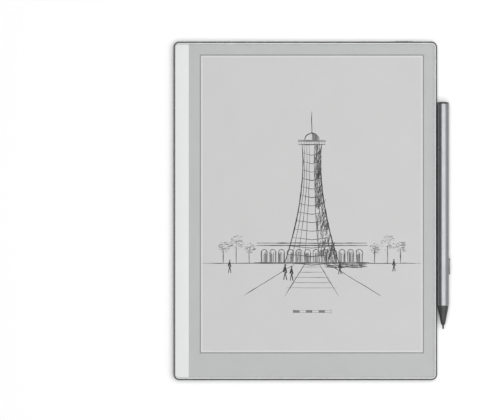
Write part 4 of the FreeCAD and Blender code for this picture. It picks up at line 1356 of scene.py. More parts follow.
    def pocket_cutter(self) -> bpy.types.Object:
        """Makes one cutter of the magnets' pockets in the right wall and the antennas' pockets.

        Returns:
            The cutter.
        """
        magnet_low, magnet_high = cad_box("case_magnets")
        gap, length = 0.05, 14.0
        blocks = []
        for start in (magnet_low.y, magnet_high.y - length):
            pocket_low = (magnet_low.x - 0.3, start - gap, magnet_low.z - gap)
            pocket_high = (magnet_high.x + gap, start + length + gap, magnet_high.z + gap)
            blocks.append(Bench.block("pocket", pocket_low, pocket_high))
        antenna_low = cad_box("antennas")[0]
        floor, seat = cad_box("battery_tape")[1].z, cad_box("lens_tape")[0].z
        for start, tail in ((-110.9, -78.4), (-70.9, -70.9)):
            left, room = antenna_low.x, 0.25
            pocket_low = (left - room, start - room, seat - 0.3)
            pocket_high = (left + 5 + room, start + 34 + room, seat + 0.4)
            blocks.append(Bench.block("pocket", pocket_low, pocket_high))
            drop_low = (left + 2.5 - room, tail - room, floor - 0.2)
            drop_high = (left + 5, tail + 1.5 + room, seat - 0.2)
            blocks.append(Bench.block("pocket", drop_low, drop_high))
        return Bench.join("pockets", blocks)

    def screw_places(self) -> list[tuple[float, float]]:
        """Gives the places of the four screws.

        Returns:
            X and Y of each screw.
        """
        low, high = cad_box("board_screws")
        head = 1.3
        return [(x, y) for x in (low.x + head, high.x - head) for y in (low.y + head, high.y - head)]

    def add_boss(self, body: bpy.types.Object, side: float, up: float) -> None:
        """Adds one screw boss under the web, with its bore.

        Args:
            body: The frame.
            side: X of the boss.
            up: Y of the boss.
        """
        foot, web = cad_box("main_board")[1].z, cad_box("battery_tape")[1].z
        top = web + self.web / 2
        boss = Bench.rod("boss", Axis.Z, (side, up, (foot + top) / 2), self.boss, top - foot, 40)
        Bench.combine(body, boss, "UNION")
        mouth, deep = foot - 0.1, foot + 0.65
        bore = Bench.rod("bore", Axis.Z, (side, up, (mouth + deep) / 2), self.bore, deep - mouth, 32)
        Bench.combine(body, bore, "DIFFERENCE")

    def tidy(self, body: bpy.types.Object) -> None:
        """Merges what the cuts left double and shades the frame.

        Args:
            body: The frame.
        """
        Bench.pick(body)
        bpy.ops.object.mode_set(mode="EDIT")
        bpy.ops.mesh.select_all(action="SELECT")
        bpy.ops.mesh.remove_doubles(threshold=1e-6)
        bpy.ops.object.mode_set(mode="OBJECT")
        Bench.smooth(body)

    def dress(self, body: bpy.types.Object, high: Vector) -> None:
        """Gives the frame its beaded skin, its polished rim and, on its outer edge's rounding, a darker
        copy of the metal that is painted shade, with rubbed patches.

        Args:
            body: The frame.
            high: The frame's highest corner.
        """
        top = high.z * MM
        band = self.edge * MM

        def on_rim(middle: Vector, normal: Vector) -> bool:
            """Tells whether a face lies in the front rim."""
            return normal.z > 0.9995 and middle.z > top - 0.005 * MM

        def on_shaded_edge(middle: Vector, normal: Vector) -> bool:
            """Tells whether a face lies in the front edge's rounding, which gets the darker metal as
            painted shade.
            """
            return middle.z > top - band and 0.02 < normal.z < 0.9995

        Bench.dress(
            body,
            self.palette["case_beaded"],
            (self.palette["rim_polished"], on_rim),
            (self.palette["case_edge_shade_and_wear"], on_shaded_edge),
        )


@dataclass
class Covers:
    """What closes the frame: the rear cover, the strip down the left side and the lens.

    Attributes:
        corner: Radius of the corners that sit in the frame's corners.
        ease: Rounding of the edges that show.
    """

    palette: Palette
    corner: float = 2.0
    ease: float = 0.12

    def build(self) -> None:
        """Builds the three covers and hands them over."""
        low, high = cad_box("rear_cover")
        back = Bench.slab("back_plate", low, high, self.corner, low_edge=self.ease, steps=14)
        self.finish(back, "back_paint", "back_finish", "rear_cover")
        strip = self.front_sheet("side_strip", "spine_trim", -1)
        self.finish(strip, "strip_matt", "spine_plastic", "spine_trim")
        lens = self.front_sheet("front_lens", "cover_lens", 1)
        self.finish(lens, "lens_etched", "lens", "cover_lens")

    def front_sheet(self, name: str, node: str, side: int) -> bpy.types.Object:
        """Builds a sheet that fills one side of the front bay.

        Args:
            name: The name of the piece.
            node: The CAD node that it stands for.
            side: -1 if its rounded corners are on the left, 1 if they are on the right.

        Returns:
            The sheet.
        """
        low, high = cad_box(node)
        piece = Bench.block(name, low, high)
        middle, top, thin = (low.x + high.x) / 2 * MM, high.z * MM, 0.01 * MM

        def is_corner(start: Vector, end: Vector) -> bool:
            """Tells whether an upright edge is on the rounded side."""
            return abs(start.z - end.z) > thin and (start.x - middle) * side > 0

        def is_brim(start: Vector, end: Vector) -> bool:
            """Tells whether an edge runs round the front face."""
            return min(start.z, end.z) > top - thin

        Bench.bevel(piece, is_corner, self.corner, 14)
        Bench.bevel(piece, is_brim, self.ease, 4)
        return piece

    def finish(self, piece: bpy.types.Object, finish: str, slot: str, node: str) -> None:
        """Shades a cover, gives it its finish and hands it over.

        Args:
            piece: The cover.
            finish: The name of its finish.
            slot: The name of its material slot.
            node: The CAD node that it replaces.
        """
        Bench.smooth(piece)
        Bench.dress(piece, self.palette[finish])
        hand_over(piece, Body.TABLET, slot, node)


@dataclass
class PowerButton:
    """The power button: a bar with rounded ends on a wider flange.

    Attributes:
        reach: How far the flange stands out at each end.
        lip: How far it stands out above and below.
        flange: Thickness of the flange.
        corner: Radius of the bar's corners.
        ease: Rounding of the bar's outer edge.
    """

    palette: Palette
    reach: float = 0.8
    lip: float = 0.2
    flange: float = 0.6
    corner: float = 0.6
    ease: float = 0.15

    def build(self) -> None:
        """Builds the button and hands it over."""
        low, high = cad_box("power_button")
        bar_low = (low.x + self.reach, low.y + self.flange / 2, low.z + self.lip)
        bar_high = (high.x - self.reach, high.y, high.z - self.lip)
        bar = Bench.slab(
            "power_bar", bar_low, bar_high, self.corner, Axis.Y, high_edge=self.ease, steps=8
        )
        plate_high = (high.x, low.y + self.flange, high.z)
        plate = Bench.slab("flange", low, plate_high, 0.2, Axis.Y, steps=3)
        Bench.combine(bar, plate, "UNION")
        Bench.smooth(bar)
        edge = (high.y - self.ease) * MM
        Bench.dress(
            bar,
            self.palette["case_beaded"],
            (self.palette["button_satin"], lambda middle, normal: middle.y > edge),
        )
        hand_over(bar, Body.BUTTON, "button_metal", "power_button")


@dataclass
class Inlet:
    """The charging inlet: a rounded shell, its contact tongue and the gilded contacts on it.

    Attributes:
        wall: Wall of the shell.
        back: Back wall of the shell.
        corner: Radius of the shell's ends.
        blade_width: Width of the tongue.
        blade_thick: Thickness of the tongue.
        root: Length of the tongue's thick root.
        contacts: Number of contacts on each face.
        pitch: From one contact to the next.
    """

    palette: Palette
    wall: float = 0.27
    back: float = 0.4
    corner: float = 1.5
    blade_width: float = 6.7
    blade_thick: float = 0.7
    root: float = 1.6
    contacts: int = 12
    pitch: float = 0.5

    def build(self) -> None:
        """Builds the inlet's three pieces and hands them over."""
        self.build_shell()
        self.build_tongue()
        self.build_contacts()

    def build_shell(self) -> None:
        """Builds the shell, hollow and open at its mouth."""
        low, high = cad_box("usb_shell")
        shell = Bench.slab(
            "inlet_shell", low, high, self.corner, Axis.Y, low_edge=0.08, edge_steps=2, steps=14
        )
        hole_low = (low.x + self.wall, low.y - 1, low.z + self.wall)
        hole_high = (high.x - self.wall, high.y - self.back, high.z - self.wall)
        hole = Bench.slab("hole", hole_low, hole_high, self.corner - self.wall, Axis.Y, steps=14)
        Bench.combine(shell, hole, "DIFFERENCE")
        Bench.smooth(shell)
        Bench.dress(shell, self.palette["inlet_steel"])
        hand_over(shell, Body.TABLET, "inlet_metal", "usb_shell")

    def build_tongue(self) -> None:
        """Builds the tongue with its thick root."""
        low, high = cad_box("usb_tongue")
        x, z = (low.x + high.x) / 2, (low.z + high.z) / 2
        blade_low = (x - self.blade_width / 2, low.y, z - self.blade_thick / 2)
        blade_high = (x + self.blade_width / 2, high.y, z + self.blade_thick / 2)
        blade = Bench.slab(
            "inlet_tongue", blade_low, blade_high, 0.12, Axis.Y, low_edge=0.1, steps=3, edge_steps=2
        )
        root_low = (low.x, high.y - self.root, low.z)
        corner = self.corner - self.wall - 0.1
        root = Bench.slab("root", root_low, high, corner, Axis.Y, low_edge=0.1, steps=12)
        Bench.combine(blade, root, "UNION")
        Bench.smooth(blade)
        Bench.dress(blade, self.palette["tongue_black"])
        hand_over(blade, Body.TABLET, "inlet_plastic", "usb_tongue")

    def build_contacts(self) -> None:
        """Builds the contacts on both faces of the tongue: one, and copies of it."""
        low, high = cad_box("usb_tongue")
        x, z = (low.x + high.x) / 2, (low.z + high.z) / 2
        first = x - (self.contacts - 1) / 2 * self.pitch
        face, proud, sunk, half = z + self.blade_thick / 2, 0.03, 0.05, 0.14
        start = (first - half, low.y + 0.35, face - sunk)
        end = (first + half, high.y - self.root, face + proud)
        contact = Bench.slab("contact", start, end, 0.03, steps=2)
        pads = [contact]
        for number in range(1, self.contacts):
            pads.append(Bench.copy(contact, "contact", (number * self.pitch, 0, 0)))
        below = -(self.blade_thick + proud - sunk)
        pads += [Bench.copy(pad, "contact", (0, 0, below)) for pad in list(pads)]
        contacts = Bench.join("inlet_contacts", pads)
        Bench.smooth(contacts)
        Bench.dress(contacts, self.palette["contact_gold"])
        hand_over(contacts, Body.TABLET, "inlet_metal")


@dataclass
class SoundScreens:
    """The fine dust screens behind the two rows of sound holes.

    Attributes:
        width: Width of a screen.
        height: Height of a screen.
        wire: Thickness of a wire.
        mesh: From one wire to the next.
    """

    palette: Palette
    width: float = 18.0
    height: float = 1.5
    wire: float = 0.06
    mesh: float = 0.25

    def build(self) -> None:
        """Builds a screen for each speaker and hands both over as one piece."""
        screens = []
        gasket_low, gasket_high = cad_box("speaker_gaskets")
        for node in ("speaker_left", "speaker_right"):
            low, high = cad_box(node)
            place = ((low.x + high.x) / 2 * MM, (gasket_low.y + 0.2) * MM, (low.z + high.z) / 2 * MM)
            bpy.ops.object.select_all(action="DESELECT")
            bpy.ops.mesh.primitive_grid_add(
                x_subdivisions=round(self.width / self.mesh),
                y_subdivisions=round(self.height / self.mesh),
                size=1,
                location=place,
                rotation=(math.pi / 2, 0, 0),
            )
            bpy.context.object.scale = (self.width * MM, self.height * MM, 1)
            screen = Bench.name_active("screen")
            bpy.context.tool_settings.mesh_select_mode = (False, False, True)
            bpy.ops.object.mode_set(mode="EDIT")
            bpy.ops.mesh.select_all(action="SELECT")
            bpy.ops.mesh.inset(thickness=self.wire / 2 * MM, depth=0, use_individual=True)
            bpy.ops.mesh.delete(type="FACE")
            bpy.ops.object.mode_set(mode="OBJECT")
            wires = screen.modifiers.new("wires", "SOLIDIFY")
            wires.thickness = self.wire * MM
            wires.offset = 0
            Bench.pick(screen)
            bpy.ops.object.modifier_apply(modifier=wires.name)
            screens.append(screen)
        piece = Bench.join("sound_screens", screens)
        Bench.dress(piece, self.palette["mesh_steel"])
        hand_over(piece, Body.TABLET, "can_metal")


@dataclass
class Stylus:
    """The stylus: barrel with one flat and a key slot, cap, cone, nib and side key.

    Attributes:
        radius: Outer radius of the barrel.
        bore: Inner radius of the barrel.
        flat: Depth of the flat.
        bevel: Rounding of the barrel's ends.
        plug: Radius of what sits in the bore.
        cap: Radius of the cap.
        cap_round: Rounding of the cap's edge.
        cap_dome: How far the cap's end bulges.
        key_gap: Gap round the side key.
        key_round: Radius of the key's ends.
        key_edge: Rounding of the key's outer edge.
    """

    palette: Palette
    radius: float = 4.2
    bore: float = 3.4
    flat: float = 0.2
    bevel: float = 0.3
    plug: float = 3.35
    cap: float = 4.0
    cap_round: float = 0.5
    cap_dome: float = 0.4
    key_gap: float = 0.08
    key_round: float = 1.2
    key_edge: float = 0.3
    centre: tuple[float, float] = field(init=False)

    def __post_init__(self) -> None:
        """Finds the line through the stylus's middle."""
        low, high = cad_box("stylus_nib")
        self.centre = ((low.x + high.x) / 2, (low.z + high.z) / 2)

    def build(self) -> None:
        """Builds all outer pieces of the stylus and hands them over."""
        self.build_barrel()
        self.build_cap()
        self.build_cone()
        self.build_nib()
        self.build_key()

    def rounding(self, edge: float, inward: float, radius: float, width: float, steps: int = 4) -> list:
        """Gives the rings of a rounded outer edge, from the side towards the end face.

        Args:
            edge: Y of the end face.
            inward: 1 if the side lies at a higher Y than the end face, -1 if lower.
            radius: Radius of the side.
            width: Radius of the rounding.
            steps: Number of rings.

        Returns:
            Y and radius of each ring.
        """
        rings = []
        for step in range(steps + 1):
            turn = step / steps * math.pi / 2
            along = edge + inward * width * (1 - math.sin(turn))
            rings.append((along, radius - width * (1 - math.cos(turn))))
        return rings

    def build_barrel(self) -> None:
        """Builds the barrel: turned, milled flat on one side and slotted for the key."""
        low, high = cad_box("stylus_barrel")
        stations = [
            *reversed(self.rounding(low.y, 1, self.radius, self.bevel)),
            *self.rounding(high.y, -1, self.radius, self.bevel),
            (high.y, self.bore),
            (low.y, self.bore),
            (low.y, self.radius - self.bevel),
        ]
        barrel = Bench.turned("barrel", self.centre, stations, sides=112, hollow=True)
        Bench.pick(barrel)
        bpy.ops.object.mode_set(mode="EDIT")
        bpy.ops.mesh.select_all(action="SELECT")
        bpy.ops.mesh.bisect(
            plane_co=((self.centre[0] - self.radius + self.flat) * MM, 0, 0),
            plane_no=(1, 0, 0),
            use_fill=True,
            clear_inner=True,
            threshold=1e-7,
        )
        bpy.ops.object.mode_set(mode="OBJECT")
        head_low, head_high = self.key_head()
        slot_low = (self.centre[0], head_low[1] - self.key_gap, head_low[2] - self.key_gap)
        slot_high = (head_high[0] + 1, head_high[1] + self.key_gap, head_high[2] + self.key_gap)
        slot = Bench.slab("slot", slot_low, slot_high, self.key_round + self.key_gap, Axis.X, steps=10)
        Bench.combine(barrel, slot, "DIFFERENCE")
        Bench.smooth(barrel)
        ends = ((low.y + self.bevel) * MM, (high.y - self.bevel) * MM)
        Bench.dress(
            barrel,
            self.palette["pen_satin"],
            (self.palette["pen_bevel"], lambda middle, normal: not ends[0] < middle.y < ends[1]),
        )
        hand_over(barrel, Body.STYLUS, "stylus_metal", "stylus_barrel")

    def build_cap(self) -> None:
        """Builds the cap with its plug; its end is slightly domed."""
        low, high = cad_box("stylus_end_cap")
        seat = cad_box("stylus_barrel")[1].y
        stations = [
            (low.y, self.plug - 0.2),
            (low.y + 0.2, self.plug),
            (seat, self.plug),
            (seat, self.cap),
            *self.rounding(high.y - self.cap_dome, -1, self.cap, self.cap_round, 6),
        ]
        rim = self.cap - self.cap_round
        for share in (0.85, 0.7, 0.5, 0.3, 0.12):
            stations.append((high.y - self.cap_dome * share**2, rim * share))
        cap = Bench.turned("cap", self.centre, stations, sides=80)
        Bench.smooth(cap)
        Bench.dress(cap, self.palette["cap_dark"])
        hand_over(cap, Body.STYLUS, "stylus_dark", "stylus_end_cap")

    def build_cone(self) -> None:
        """Builds the cone: a softly curved taper with a rounded lip, and a hollow spigot."""
        low, high = cad_box("stylus_cone")
        seat = cad_box("stylus_barrel")[0].y
        coil, core = cad_box("stylus_coil"), cad_box("stylus_ferrite")
        coil_bore = (coil[1].z - coil[0].z) / 2 + 0.1
        core_bore = (core[1].z - core[0].z) / 2 + 0.1
        nib_bore = 0.68
        stations = [
            (low.y, nib_bore),
            (low.y, 0.98),
            (low.y + 0.05, 1.07),
            (low.y + 0.2, 1.16),
            (low.y + 1.35, 1.58),
            (low.y + 1.55, 1.66),
            (low.y + 2.0, 1.74),
            (seat - 3.1, 3.38),
            (seat - 2.6, 3.48),
            (seat - 2.0, 3.57),
            (seat - 0.25, 3.8),
            (seat - 0.08, 3.8),
            (seat, 3.74),
            (seat, self.plug),
            (high.y - 0.15, self.plug),
            (high.y, self.plug - 0.15),
            (high.y, coil_bore),
            (coil[0].y - 0.1, coil_bore),
            (coil[0].y - 0.1, core_bore),
            (core[0].y - 0.1, core_bore),
            (core[0].y - 0.1, nib_bore),
            (low.y, nib_bore),
        ]
        cone = Bench.turned("cone", self.centre, stations, sides=80, hollow=True)
        Bench.smooth(cone, 24.0)
        Bench.dress(cone, self.palette["cone_black"])
        hand_over(cone, Body.STYLUS, "stylus_dark", "stylus_cone")

    def build_nib(self) -> None:
        """Builds the nib with its rounded point."""
        low, high = cad_box("stylus_nib")
        radius = (high.x - low.x) / 2
        point = (
            (0.0, 0.12),
            (0.03, 0.22),
            (0.1, 0.27),
            (0.3, 0.38),
            (0.6, 0.48),
            (1.0, 0.56),
            (1.4, radius),
        )
        stations = [(low.y + along, size) for along, size in point]
        stations += [(high.y - 0.1, radius), (high.y, radius - 0.1)]
        nib = Bench.turned("nib", self.centre, stations, sides=40)
        Bench.smooth(nib)
        Bench.dress(nib, self.palette["nib_black"])
        hand_over(nib, Body.NIB, "nib_plastic", "stylus_nib")

    def key_head(self) -> tuple[Point, Point]:
        """Gives the box of the key's head, which stands in the barrel's slot.

        Returns:
            Its lowest and highest corner.
        """
        low, high = cad_box("stylus_key")
        reach, lip, flange = 0.9, 0.2, 0.4
        return (low.x + flange / 2, low.y + reach, low.z + lip), (high.x, high.y - reach, high.z - lip)

    def build_key(self) -> None:
        """Builds the side key: a rounded head on a flat flange."""
        low, high = cad_box("stylus_key")
        head = Bench.slab(
            "side_key",
            *self.key_head(),
            self.key_round,
            Axis.X,
            high_edge=self.key_edge,
            steps=12,
            edge_steps=5,
        )
        flange = Bench.slab("flange", low, (low.x + 0.4, high.y, high.z), 0.3, Axis.X, steps=4)
        Bench.combine(head, flange, "UNION")
        Bench.smooth(head)
        Bench.dress(head, self.palette["key_dark"])
        hand_over(head, Body.KEY, "key_metal", "stylus_key")


class Tone(Enum):
    """How hard the pencil was pressed, with the finish of its strokes."""

    DARK = "ink_dark"
    SOFT = "ink_soft"
    FAINT = "ink_faint"


@dataclass
class Sketch:
    """A made-up pencil sketch on the screen: a round tower on an arcade, trees, a path and visitors.

    Attributes:
        ground: Y of the ground line.
        middle: X of the tower.
        head: Y of the top of the tower's shaft.
        height: Thickness of a stroke above the screen.
        bold: How much broader every stroke is laid down.
        seed: Start of the hand's small wobbles.
    """

    palette: Palette
    ground: float = -36.0
    middle: float = 4.5
    head: float = 46.0
    height: float = 0.03
    bold: float = 1.35
    seed: int = 11
    strokes: dict[Tone, list] = field(default_factory=lambda: {tone: [] for tone in Tone})
    hand: random.Random = field(init=False)

    def __post_init__(self) -> None:
        """Seeds the hand."""
        self.hand = random.Random(self.seed)

    def stroke(
        self, points: Sequence[Spot], width: float, tone: Tone, wobble: float = 0.12
    ) -> None:
        """Draws one stroke through a few points, thin at both ends.

        Args:
            points: X and Y of the points.
            width: Width at the middle of the stroke.
            tone: How hard the pencil is pressed.
            wobble: How far the hand strays.
        """
        path = []
        for (x, y), (next_x, next_y) in zip(points, points[1:]):
            length = math.hypot(next_x - x, next_y - y)
            pieces = max(1, round(length / 6))
            for step in range(pieces):
                share = step / pieces
                path.append((x + (next_x - x) * share, y + (next_y - y) * share))
        path.append(points[-1])
        last = len(path) - 1
        drawn = []
        for index, (x, y) in enumerate(path):
            stray = wobble if 0 < index < last else wobble / 2
            size = width * self.bold * (0.35 + 0.65 * math.sin(math.pi * (0.12 + 0.76 * index / last)))
            size *= self.hand.uniform(0.75, 1.2)
            drawn.append((x + self.hand.gauss(0, stray), y + self.hand.gauss(0, stray), size))
        self.strokes[tone].append(drawn)

    def line(self, start: Spot, end: Spot, width: float, tone: Tone, passes: int) -> None:
        """Draws a straight line, gone over a few times, that runs a little past its ends.

        Args:
            start: X and Y of its start.
            end: X and Y of its end.
            width: Width at its middle.
            tone: How hard the pencil is pressed.
            passes: How many times it is gone over.
        """
        for _ in range(passes):
            over = self.hand.uniform(0.0, 0.06)
            x, y = end[0] - start[0], end[1] - start[1]
            first = (start[0] - x * over, start[1] - y * over)
            last = (end[0] + x * over, end[1] + y * over)
            self.stroke((first, last), width, tone)

    def flank(self, share: float) -> float:
        """Gives how far the tower's flanks are from its middle.

        Args:
            share: 0 at the ground, 1 at the top.

        Returns:
            The distance, in millimetres.
        """
        return 5.2 + 13.5 * (1 - share) ** 2 + 1.6 * share**6

    def outline(self, side: int, inset: float) -> list[Spot]:
        """Gives the points of a flank, or of a line inside it.

        Args:
            side: -1 for the left flank, 1 for the right one.
            inset: 1 on the flank, 0 on the tower's middle line.

        Returns:
            X and Y of the points, from the ground up.
        """
        points = []
        for step in range(15):
            share = step / 14
            away = self.flank(share) * inset
            points.append((self.middle + side * away, self.ground + (self.head - self.ground) * share))
        return points

    def draw_tower(self) -> None:
        """Draws the flanks, the ribs between them, the rings and the shaded side."""
        for side in (-1, 1):
            for _ in range(4):
                self.stroke(self.outline(side, 1.0), 0.4, Tone.DARK, 0.14)
            for inset in (0.8, 0.55, 0.28):
                self.stroke(self.outline(side, inset), 0.28, Tone.SOFT, 0.14)
        for number in range(14):
            share = number / 14
            y = self.ground + (self.head - self.ground) * share
            reach = self.flank(share)
            for _ in range(2):
                bow = ((self.middle - reach, y), (self.middle, y - 1.6), (self.middle + reach, y))
                self.stroke(bow, 0.26, Tone.SOFT, 0.1)
        for _ in range(330):
            share = self.hand.random() * 0.97
            reach = self.flank(share)
            start = self.hand.uniform(0.25, 0.93) * reach
            y = self.ground + (self.head - self.ground) * share
            tone = Tone.DARK if start > 0.55 * reach else Tone.SOFT
            tip = (self.middle + start + self.hand.uniform(0.4, 1.2), y + self.hand.uniform(2, 6))
            self.stroke(((self.middle + start, y), tip), self.hand.uniform(0.24, 0.5), tone, 0.08)
        self.draw_lantern()

    def draw_lantern(self) -> None:
        """Draws the gallery on top of the tower, its dome and the mast."""
        reach, dome, rail, roof = self.flank(1.0) + 2.0, 5.0, 2.2, 3.0
        left, right = self.middle - reach, self.middle + reach
        for level in (self.head, self.head + rail, self.head + roof):
            self.line((left, level), (right, level), 0.3, Tone.DARK, 3)
        for number in range(11):
            x = left + 2 * reach * number / 10
            self.line((x, self.head), (x, self.head + rail), 0.22, Tone.SOFT, 2)
        foot = self.head + roof
        arc = []
        for step in range(9):
            turn = math.pi * step / 8
            arc.append((self.middle - dome * math.cos(turn), foot + dome * math.sin(turn)))
        for _ in range(3):
            self.stroke(arc, 0.34, Tone.DARK, 0.1)
        for _ in range(26):
            away = self.hand.uniform(0.5, dome * 0.85)
            x, tall = self.middle + away, math.sqrt(dome * dome - away * away)
            self.stroke(((x, foot + 0.2), (x, foot + tall)), 0.3, Tone.SOFT, 0.06)
        top = foot + dome
        self.line((self.middle, top), (self.middle, top + 14), 0.34, Tone.DARK, 3)

    def draw_arcade(self) -> None:
        """Draws the round-arched arcade at the foot of the tower."""
        reach, high, bay = 36.0, 12.0, 6.0
        low = self.ground
        for level in (low, low + high, low + high + 1.6):
            self.line((self.middle - reach, level), (self.middle + reach, level), 0.34, Tone.DARK, 3)
        for number in range(int(2 * reach / bay)):
            left = self.middle - reach + bay * number
            arch = [(left + 0.8, low)]
            for step in range(7):
                turn = math.pi * step / 6
                arch.append((left + bay / 2 - 2.2 * math.cos(turn), low + 7.0 + 2.2 * math.sin(turn)))
            arch.append((left + bay - 0.8, low))
            for _ in range(2):
                self.stroke(arch, 0.3, Tone.DARK, 0.08)
            for _ in range(12):
                x = left + self.hand.uniform(1.1, bay - 1.1)
                top = low + self.hand.uniform(5.0, 8.2)
                self.stroke(((x, low + 0.4), (x, top)), 0.3, Tone.SOFT, 0.06)

    def draw_trees(self) -> None:
        """Draws a short row of round trees on each side."""
        left_row = ((-57.0, 15.0), (-48.0, 19.0), (-39.0, 14.0))
        right_row = ((48.0, 14.0), (57.0, 19.0), (66.0, 15.0))
        for x, tall in left_row + right_row:
            self.line((x, self.ground), (x, self.ground + tall * 0.6), 0.34, Tone.DARK, 3)
            for _ in range(46):
                turn, away = self.hand.uniform(0, math.tau), self.hand.random() ** 0.5 * tall * 0.26
                start = (x + away * math.cos(turn), self.ground + tall * 0.72 + away * math.sin(turn))
                end = (start[0] + self.hand.uniform(0.6, 2.2), start[1] + self.hand.uniform(-1.0, 1.2))
                tone = self.hand.choice((Tone.SOFT, Tone.FAINT, Tone.DARK))
                self.stroke((start, end), 0.26, tone, 0.1)

    def draw_ground(self) -> None:
        """Draws the ground line, the edges of the path and the tower's shadow."""
        reach, level = 68, self.ground - 0.4
        self.line((self.middle - reach, level), (self.middle + reach, level), 0.28, Tone.SOFT, 3)
        for side in (-1, 1):
            for near, far in ((5.0, 18.0), (12.0, 46.0)):
                start = (self.middle + side * near, self.ground - 1)
                self.line(start, (self.middle + side * far, self.ground - 22), 0.26, Tone.SOFT, 2)
        for number in range(5):
            y = self.ground - 3.0 - 3.6 * number
            half = 6.0 + 2.6 * number
            self.line((self.middle - half, y), (self.middle + half, y), 0.2, Tone.FAINT, 2)
        for _ in range(70):
            x = self.middle + self.hand.uniform(8, 34)
            y = self.ground - self.hand.uniform(0.8, 3.4)
            end = (x + self.hand.uniform(2, 6), y - self.hand.uniform(0, 0.6))
            self.stroke(((x, y), end), 0.34, Tone.DARK, 0.08)

    def draw_visitor(self, x: float, low: float, tall: float) -> None:
        """Draws one small standing figure.

        Args:
            x: X of the figure.
            low: Its feet below the ground line.
            tall: Its height.
        """
        foot = self.ground - low
        neck, hip = (x, foot + tall * 0.85), (x, foot + tall * 0.5)
        left_hem = (x - tall * 0.1, foot + tall * 0.5)
        right_hem = (x + tall * 0.08, foot + tall * 0.45)
        for _ in range(4):
            self.stroke((left_hem, neck), tall * 0.14, Tone.DARK, 0.06)
            self.stroke((right_hem, neck), tall * 0.12, Tone.DARK, 0.06)
        for side in (-1, 1):
            self.stroke(((x + side * tall * 0.1, foot), hip), tall * 0.08, Tone.DARK, 0.04)
        chin, crown = (x, foot + tall * 0.88), (x + 0.1, foot + tall)
        self.stroke((chin, crown), tall * 0.13, Tone.DARK, 0.02)

    def draw_scale_bar(self) -> None:
        """Draws a plain measuring bar with no figures under the sketch."""
        left, level, step = -8.4, -70.5, 4.4
        for number in range(6):
            x = left + number * step
            if number % 2 == 0:
                for row in range(5):
                    y = level + 0.34 * row
                    self.strokes[Tone.DARK].append([(x, y, 0.24), (x + step, y, 0.24)])
        for y in (level - 0.1, level + 1.46):
            self.strokes[Tone.DARK].append([(left, y, 0.14), (left + 6 * step, y, 0.14)])
        for number in (0, 6):
            x = left + number * step
            self.strokes[Tone.DARK].append([(x, level - 1.0, 0.16), (x, level + 2.4, 0.16)])

    def build(self) -> None:
        """Draws everything, turns each tone's strokes into a mesh and hands them over."""
        self.draw_tower()
        self.draw_arcade()
        self.draw_trees()
        self.draw_ground()
        for x, low, tall in (
            (-52.5, 7.0, 9.0),
            (-14.0, 12.0, 11.0),
            (-9.5, 12.5, 10.0),
            (24.0, 8.0, 9.0),
            (61.5, 6.0, 8.5),
        ):
            self.draw_visitor(x, low, tall)
        self.draw_scale_bar()
        for tone in Tone:
            self.lay_down(tone)

    def lay_down(self, tone: Tone) -> None:
        """Turns the strokes of one tone into a thin mesh on the screen.

        Args:
            tone: The tone.
        """
        bpy.ops.object.select_all(action="DESELECT")
        bpy.ops.curve.primitive_bezier_curve_add(location=(0, 0, 0))
        piece = bpy.context.object
        curve = piece.data
        curve.splines.clear()
        for drawn in self.strokes[tone]:
            spline = curve.splines.new("POLY")
            spline.points.add(len(drawn) - 1)
            for point, (x, y, width) in zip(spline.points, drawn):
                point.co = (x * MM, y * MM, 0, 1)
                point.radius = width
        curve.bevel_depth = MM / 2
        curve.bevel_resolution = 0
        curve.use_fill_caps = True
        bpy.ops.object.convert(target="MESH")
        widest = max(width for drawn in self.strokes[tone] for _, _, width in drawn)
        paper = cad_box("epaper_panel")[1].z
        piece.scale = (1, 1, self.height / widest)
        piece.location = (0, 0, (paper + self.height / 2) * MM)
        drawing = Bench.name_active(f"drawing_{tone.name.lower()}")
        Bench.dress(drawing, self.palette[tone.value])
        hand_over(drawing, Body.TABLET, "paper_screen")


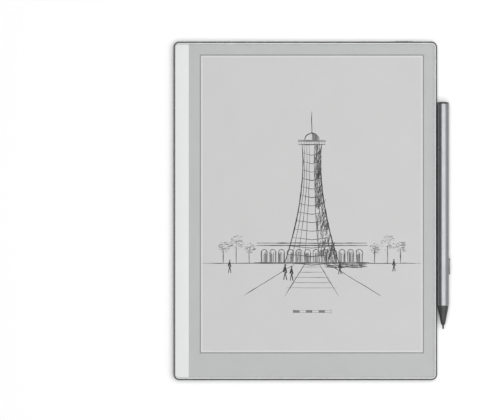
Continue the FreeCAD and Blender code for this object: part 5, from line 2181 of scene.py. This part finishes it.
@dataclass
class Studio:
    """The plain pale floor, the soft light and the camera.

    Attributes:
        view_width: Width of the camera's view at the table.
        aim: What the camera looks straight down at.
        lens: Focal length of the camera.
        sensor: Width of the camera's sensor.
        sky: Brightness of the light from all sides.
        lamp_size: Side of the large soft lamp.
        lamp_place: Middle of the lamp.
        lamp_power: Power of the lamp, in watts.
        side_place: Middle of the weaker lamp at the right.
        side_size: Side of that lamp.
        side_power: Power of that lamp, in watts.
    """

    palette: Palette
    view_width: float = 347.5
    aim: tuple[float, float] = (-38.4, 0.6)
    lens: float = 300.0
    sensor: float = 36.0
    sky: float = 0.24
    lamp_size: float = 2.2
    lamp_place: Point = (0.38, 0.0, 1.5)
    lamp_power: float = 33.5
    side_place: Point = (1.9, 0.0, 1.0)
    side_size: float = 1.4
    side_power: float = 5.0

    def build(self) -> None:
        """Sets up the floor, the light, the camera and how colours are shown."""
        self.lay_floor()
        self.light()
        self.place_camera()
        bpy.context.scene.view_settings.view_transform = "Standard"

    def lay_floor(self) -> None:
        """Lays the floor just under the object."""
        bpy.ops.object.select_all(action="DESELECT")
        bpy.ops.mesh.primitive_grid_add(
            x_subdivisions=8, y_subdivisions=8, size=14, location=(0, 0, -0.1 * MM)
        )
        floor = Bench.name_active("floor")
        Bench.dress(floor, self.palette["floor_pale"])

    def light(self) -> None:
        """Hangs the large lamp and sets the light from all sides."""
        world = bpy.data.worlds.new("studio")
        world.use_nodes = True
        world.node_tree.nodes["Background"].inputs["Color"].default_value = (1, 1, 1, 1)
        world.node_tree.nodes["Background"].inputs["Strength"].default_value = self.sky
        bpy.context.scene.world = world
        self.hang_lamp("soft_lamp", self.lamp_place, self.lamp_size, self.lamp_power, 0.0)
        lean = math.atan2(self.side_place[0], self.side_place[2])
        self.hang_lamp("side_lamp", self.side_place, self.side_size, self.side_power, lean)

    def hang_lamp(self, name: str, place: Point, size: float, power: float, lean: float) -> None:
        """Hangs one soft square lamp.

        Args:
            name: The name of the lamp.
            place: Its middle.
            size: Its side.
            power: Its power, in watts.
            lean: Its turn from straight down towards the left.
        """
        bpy.ops.object.light_add(type="AREA", location=place, rotation=(0, lean, 0))
        lamp = bpy.context.object
        lamp.name = name
        lamp.data.shape = "SQUARE"
        lamp.data.size = size
        lamp.data.energy = power
        lamp.visible_camera = False

    def place_camera(self) -> None:
        """Places the camera straight above, looking down."""
        distance = self.view_width * MM * self.lens / self.sensor
        place = (self.aim[0] * MM, self.aim[1] * MM, distance)
        bpy.ops.object.camera_add(location=place, rotation=(0, 0, 0))
        camera = bpy.context.object
        camera.data.lens = self.lens
        camera.data.sensor_width = self.sensor
        camera.data.clip_start = 0.01
        camera.data.clip_end = 50.0
        bpy.context.scene.camera = camera


def main() -> None:
    """Builds the whole object and its studio."""
    logging.basicConfig(level=logging.INFO, format="%(name)s: %(message)s")
    palette = Palette(FINISHES)
    palette.dress_nodes(NODE_FINISHES)
    for assembly in (
        Chassis(palette),
        Covers(palette),
        PowerButton(palette),
        Inlet(palette),
        SoundScreens(palette),
        Stylus(palette),
        Sketch(palette),
        Studio(palette),
    ):
        assembly.build()


if __name__ == "__main__":
    main()
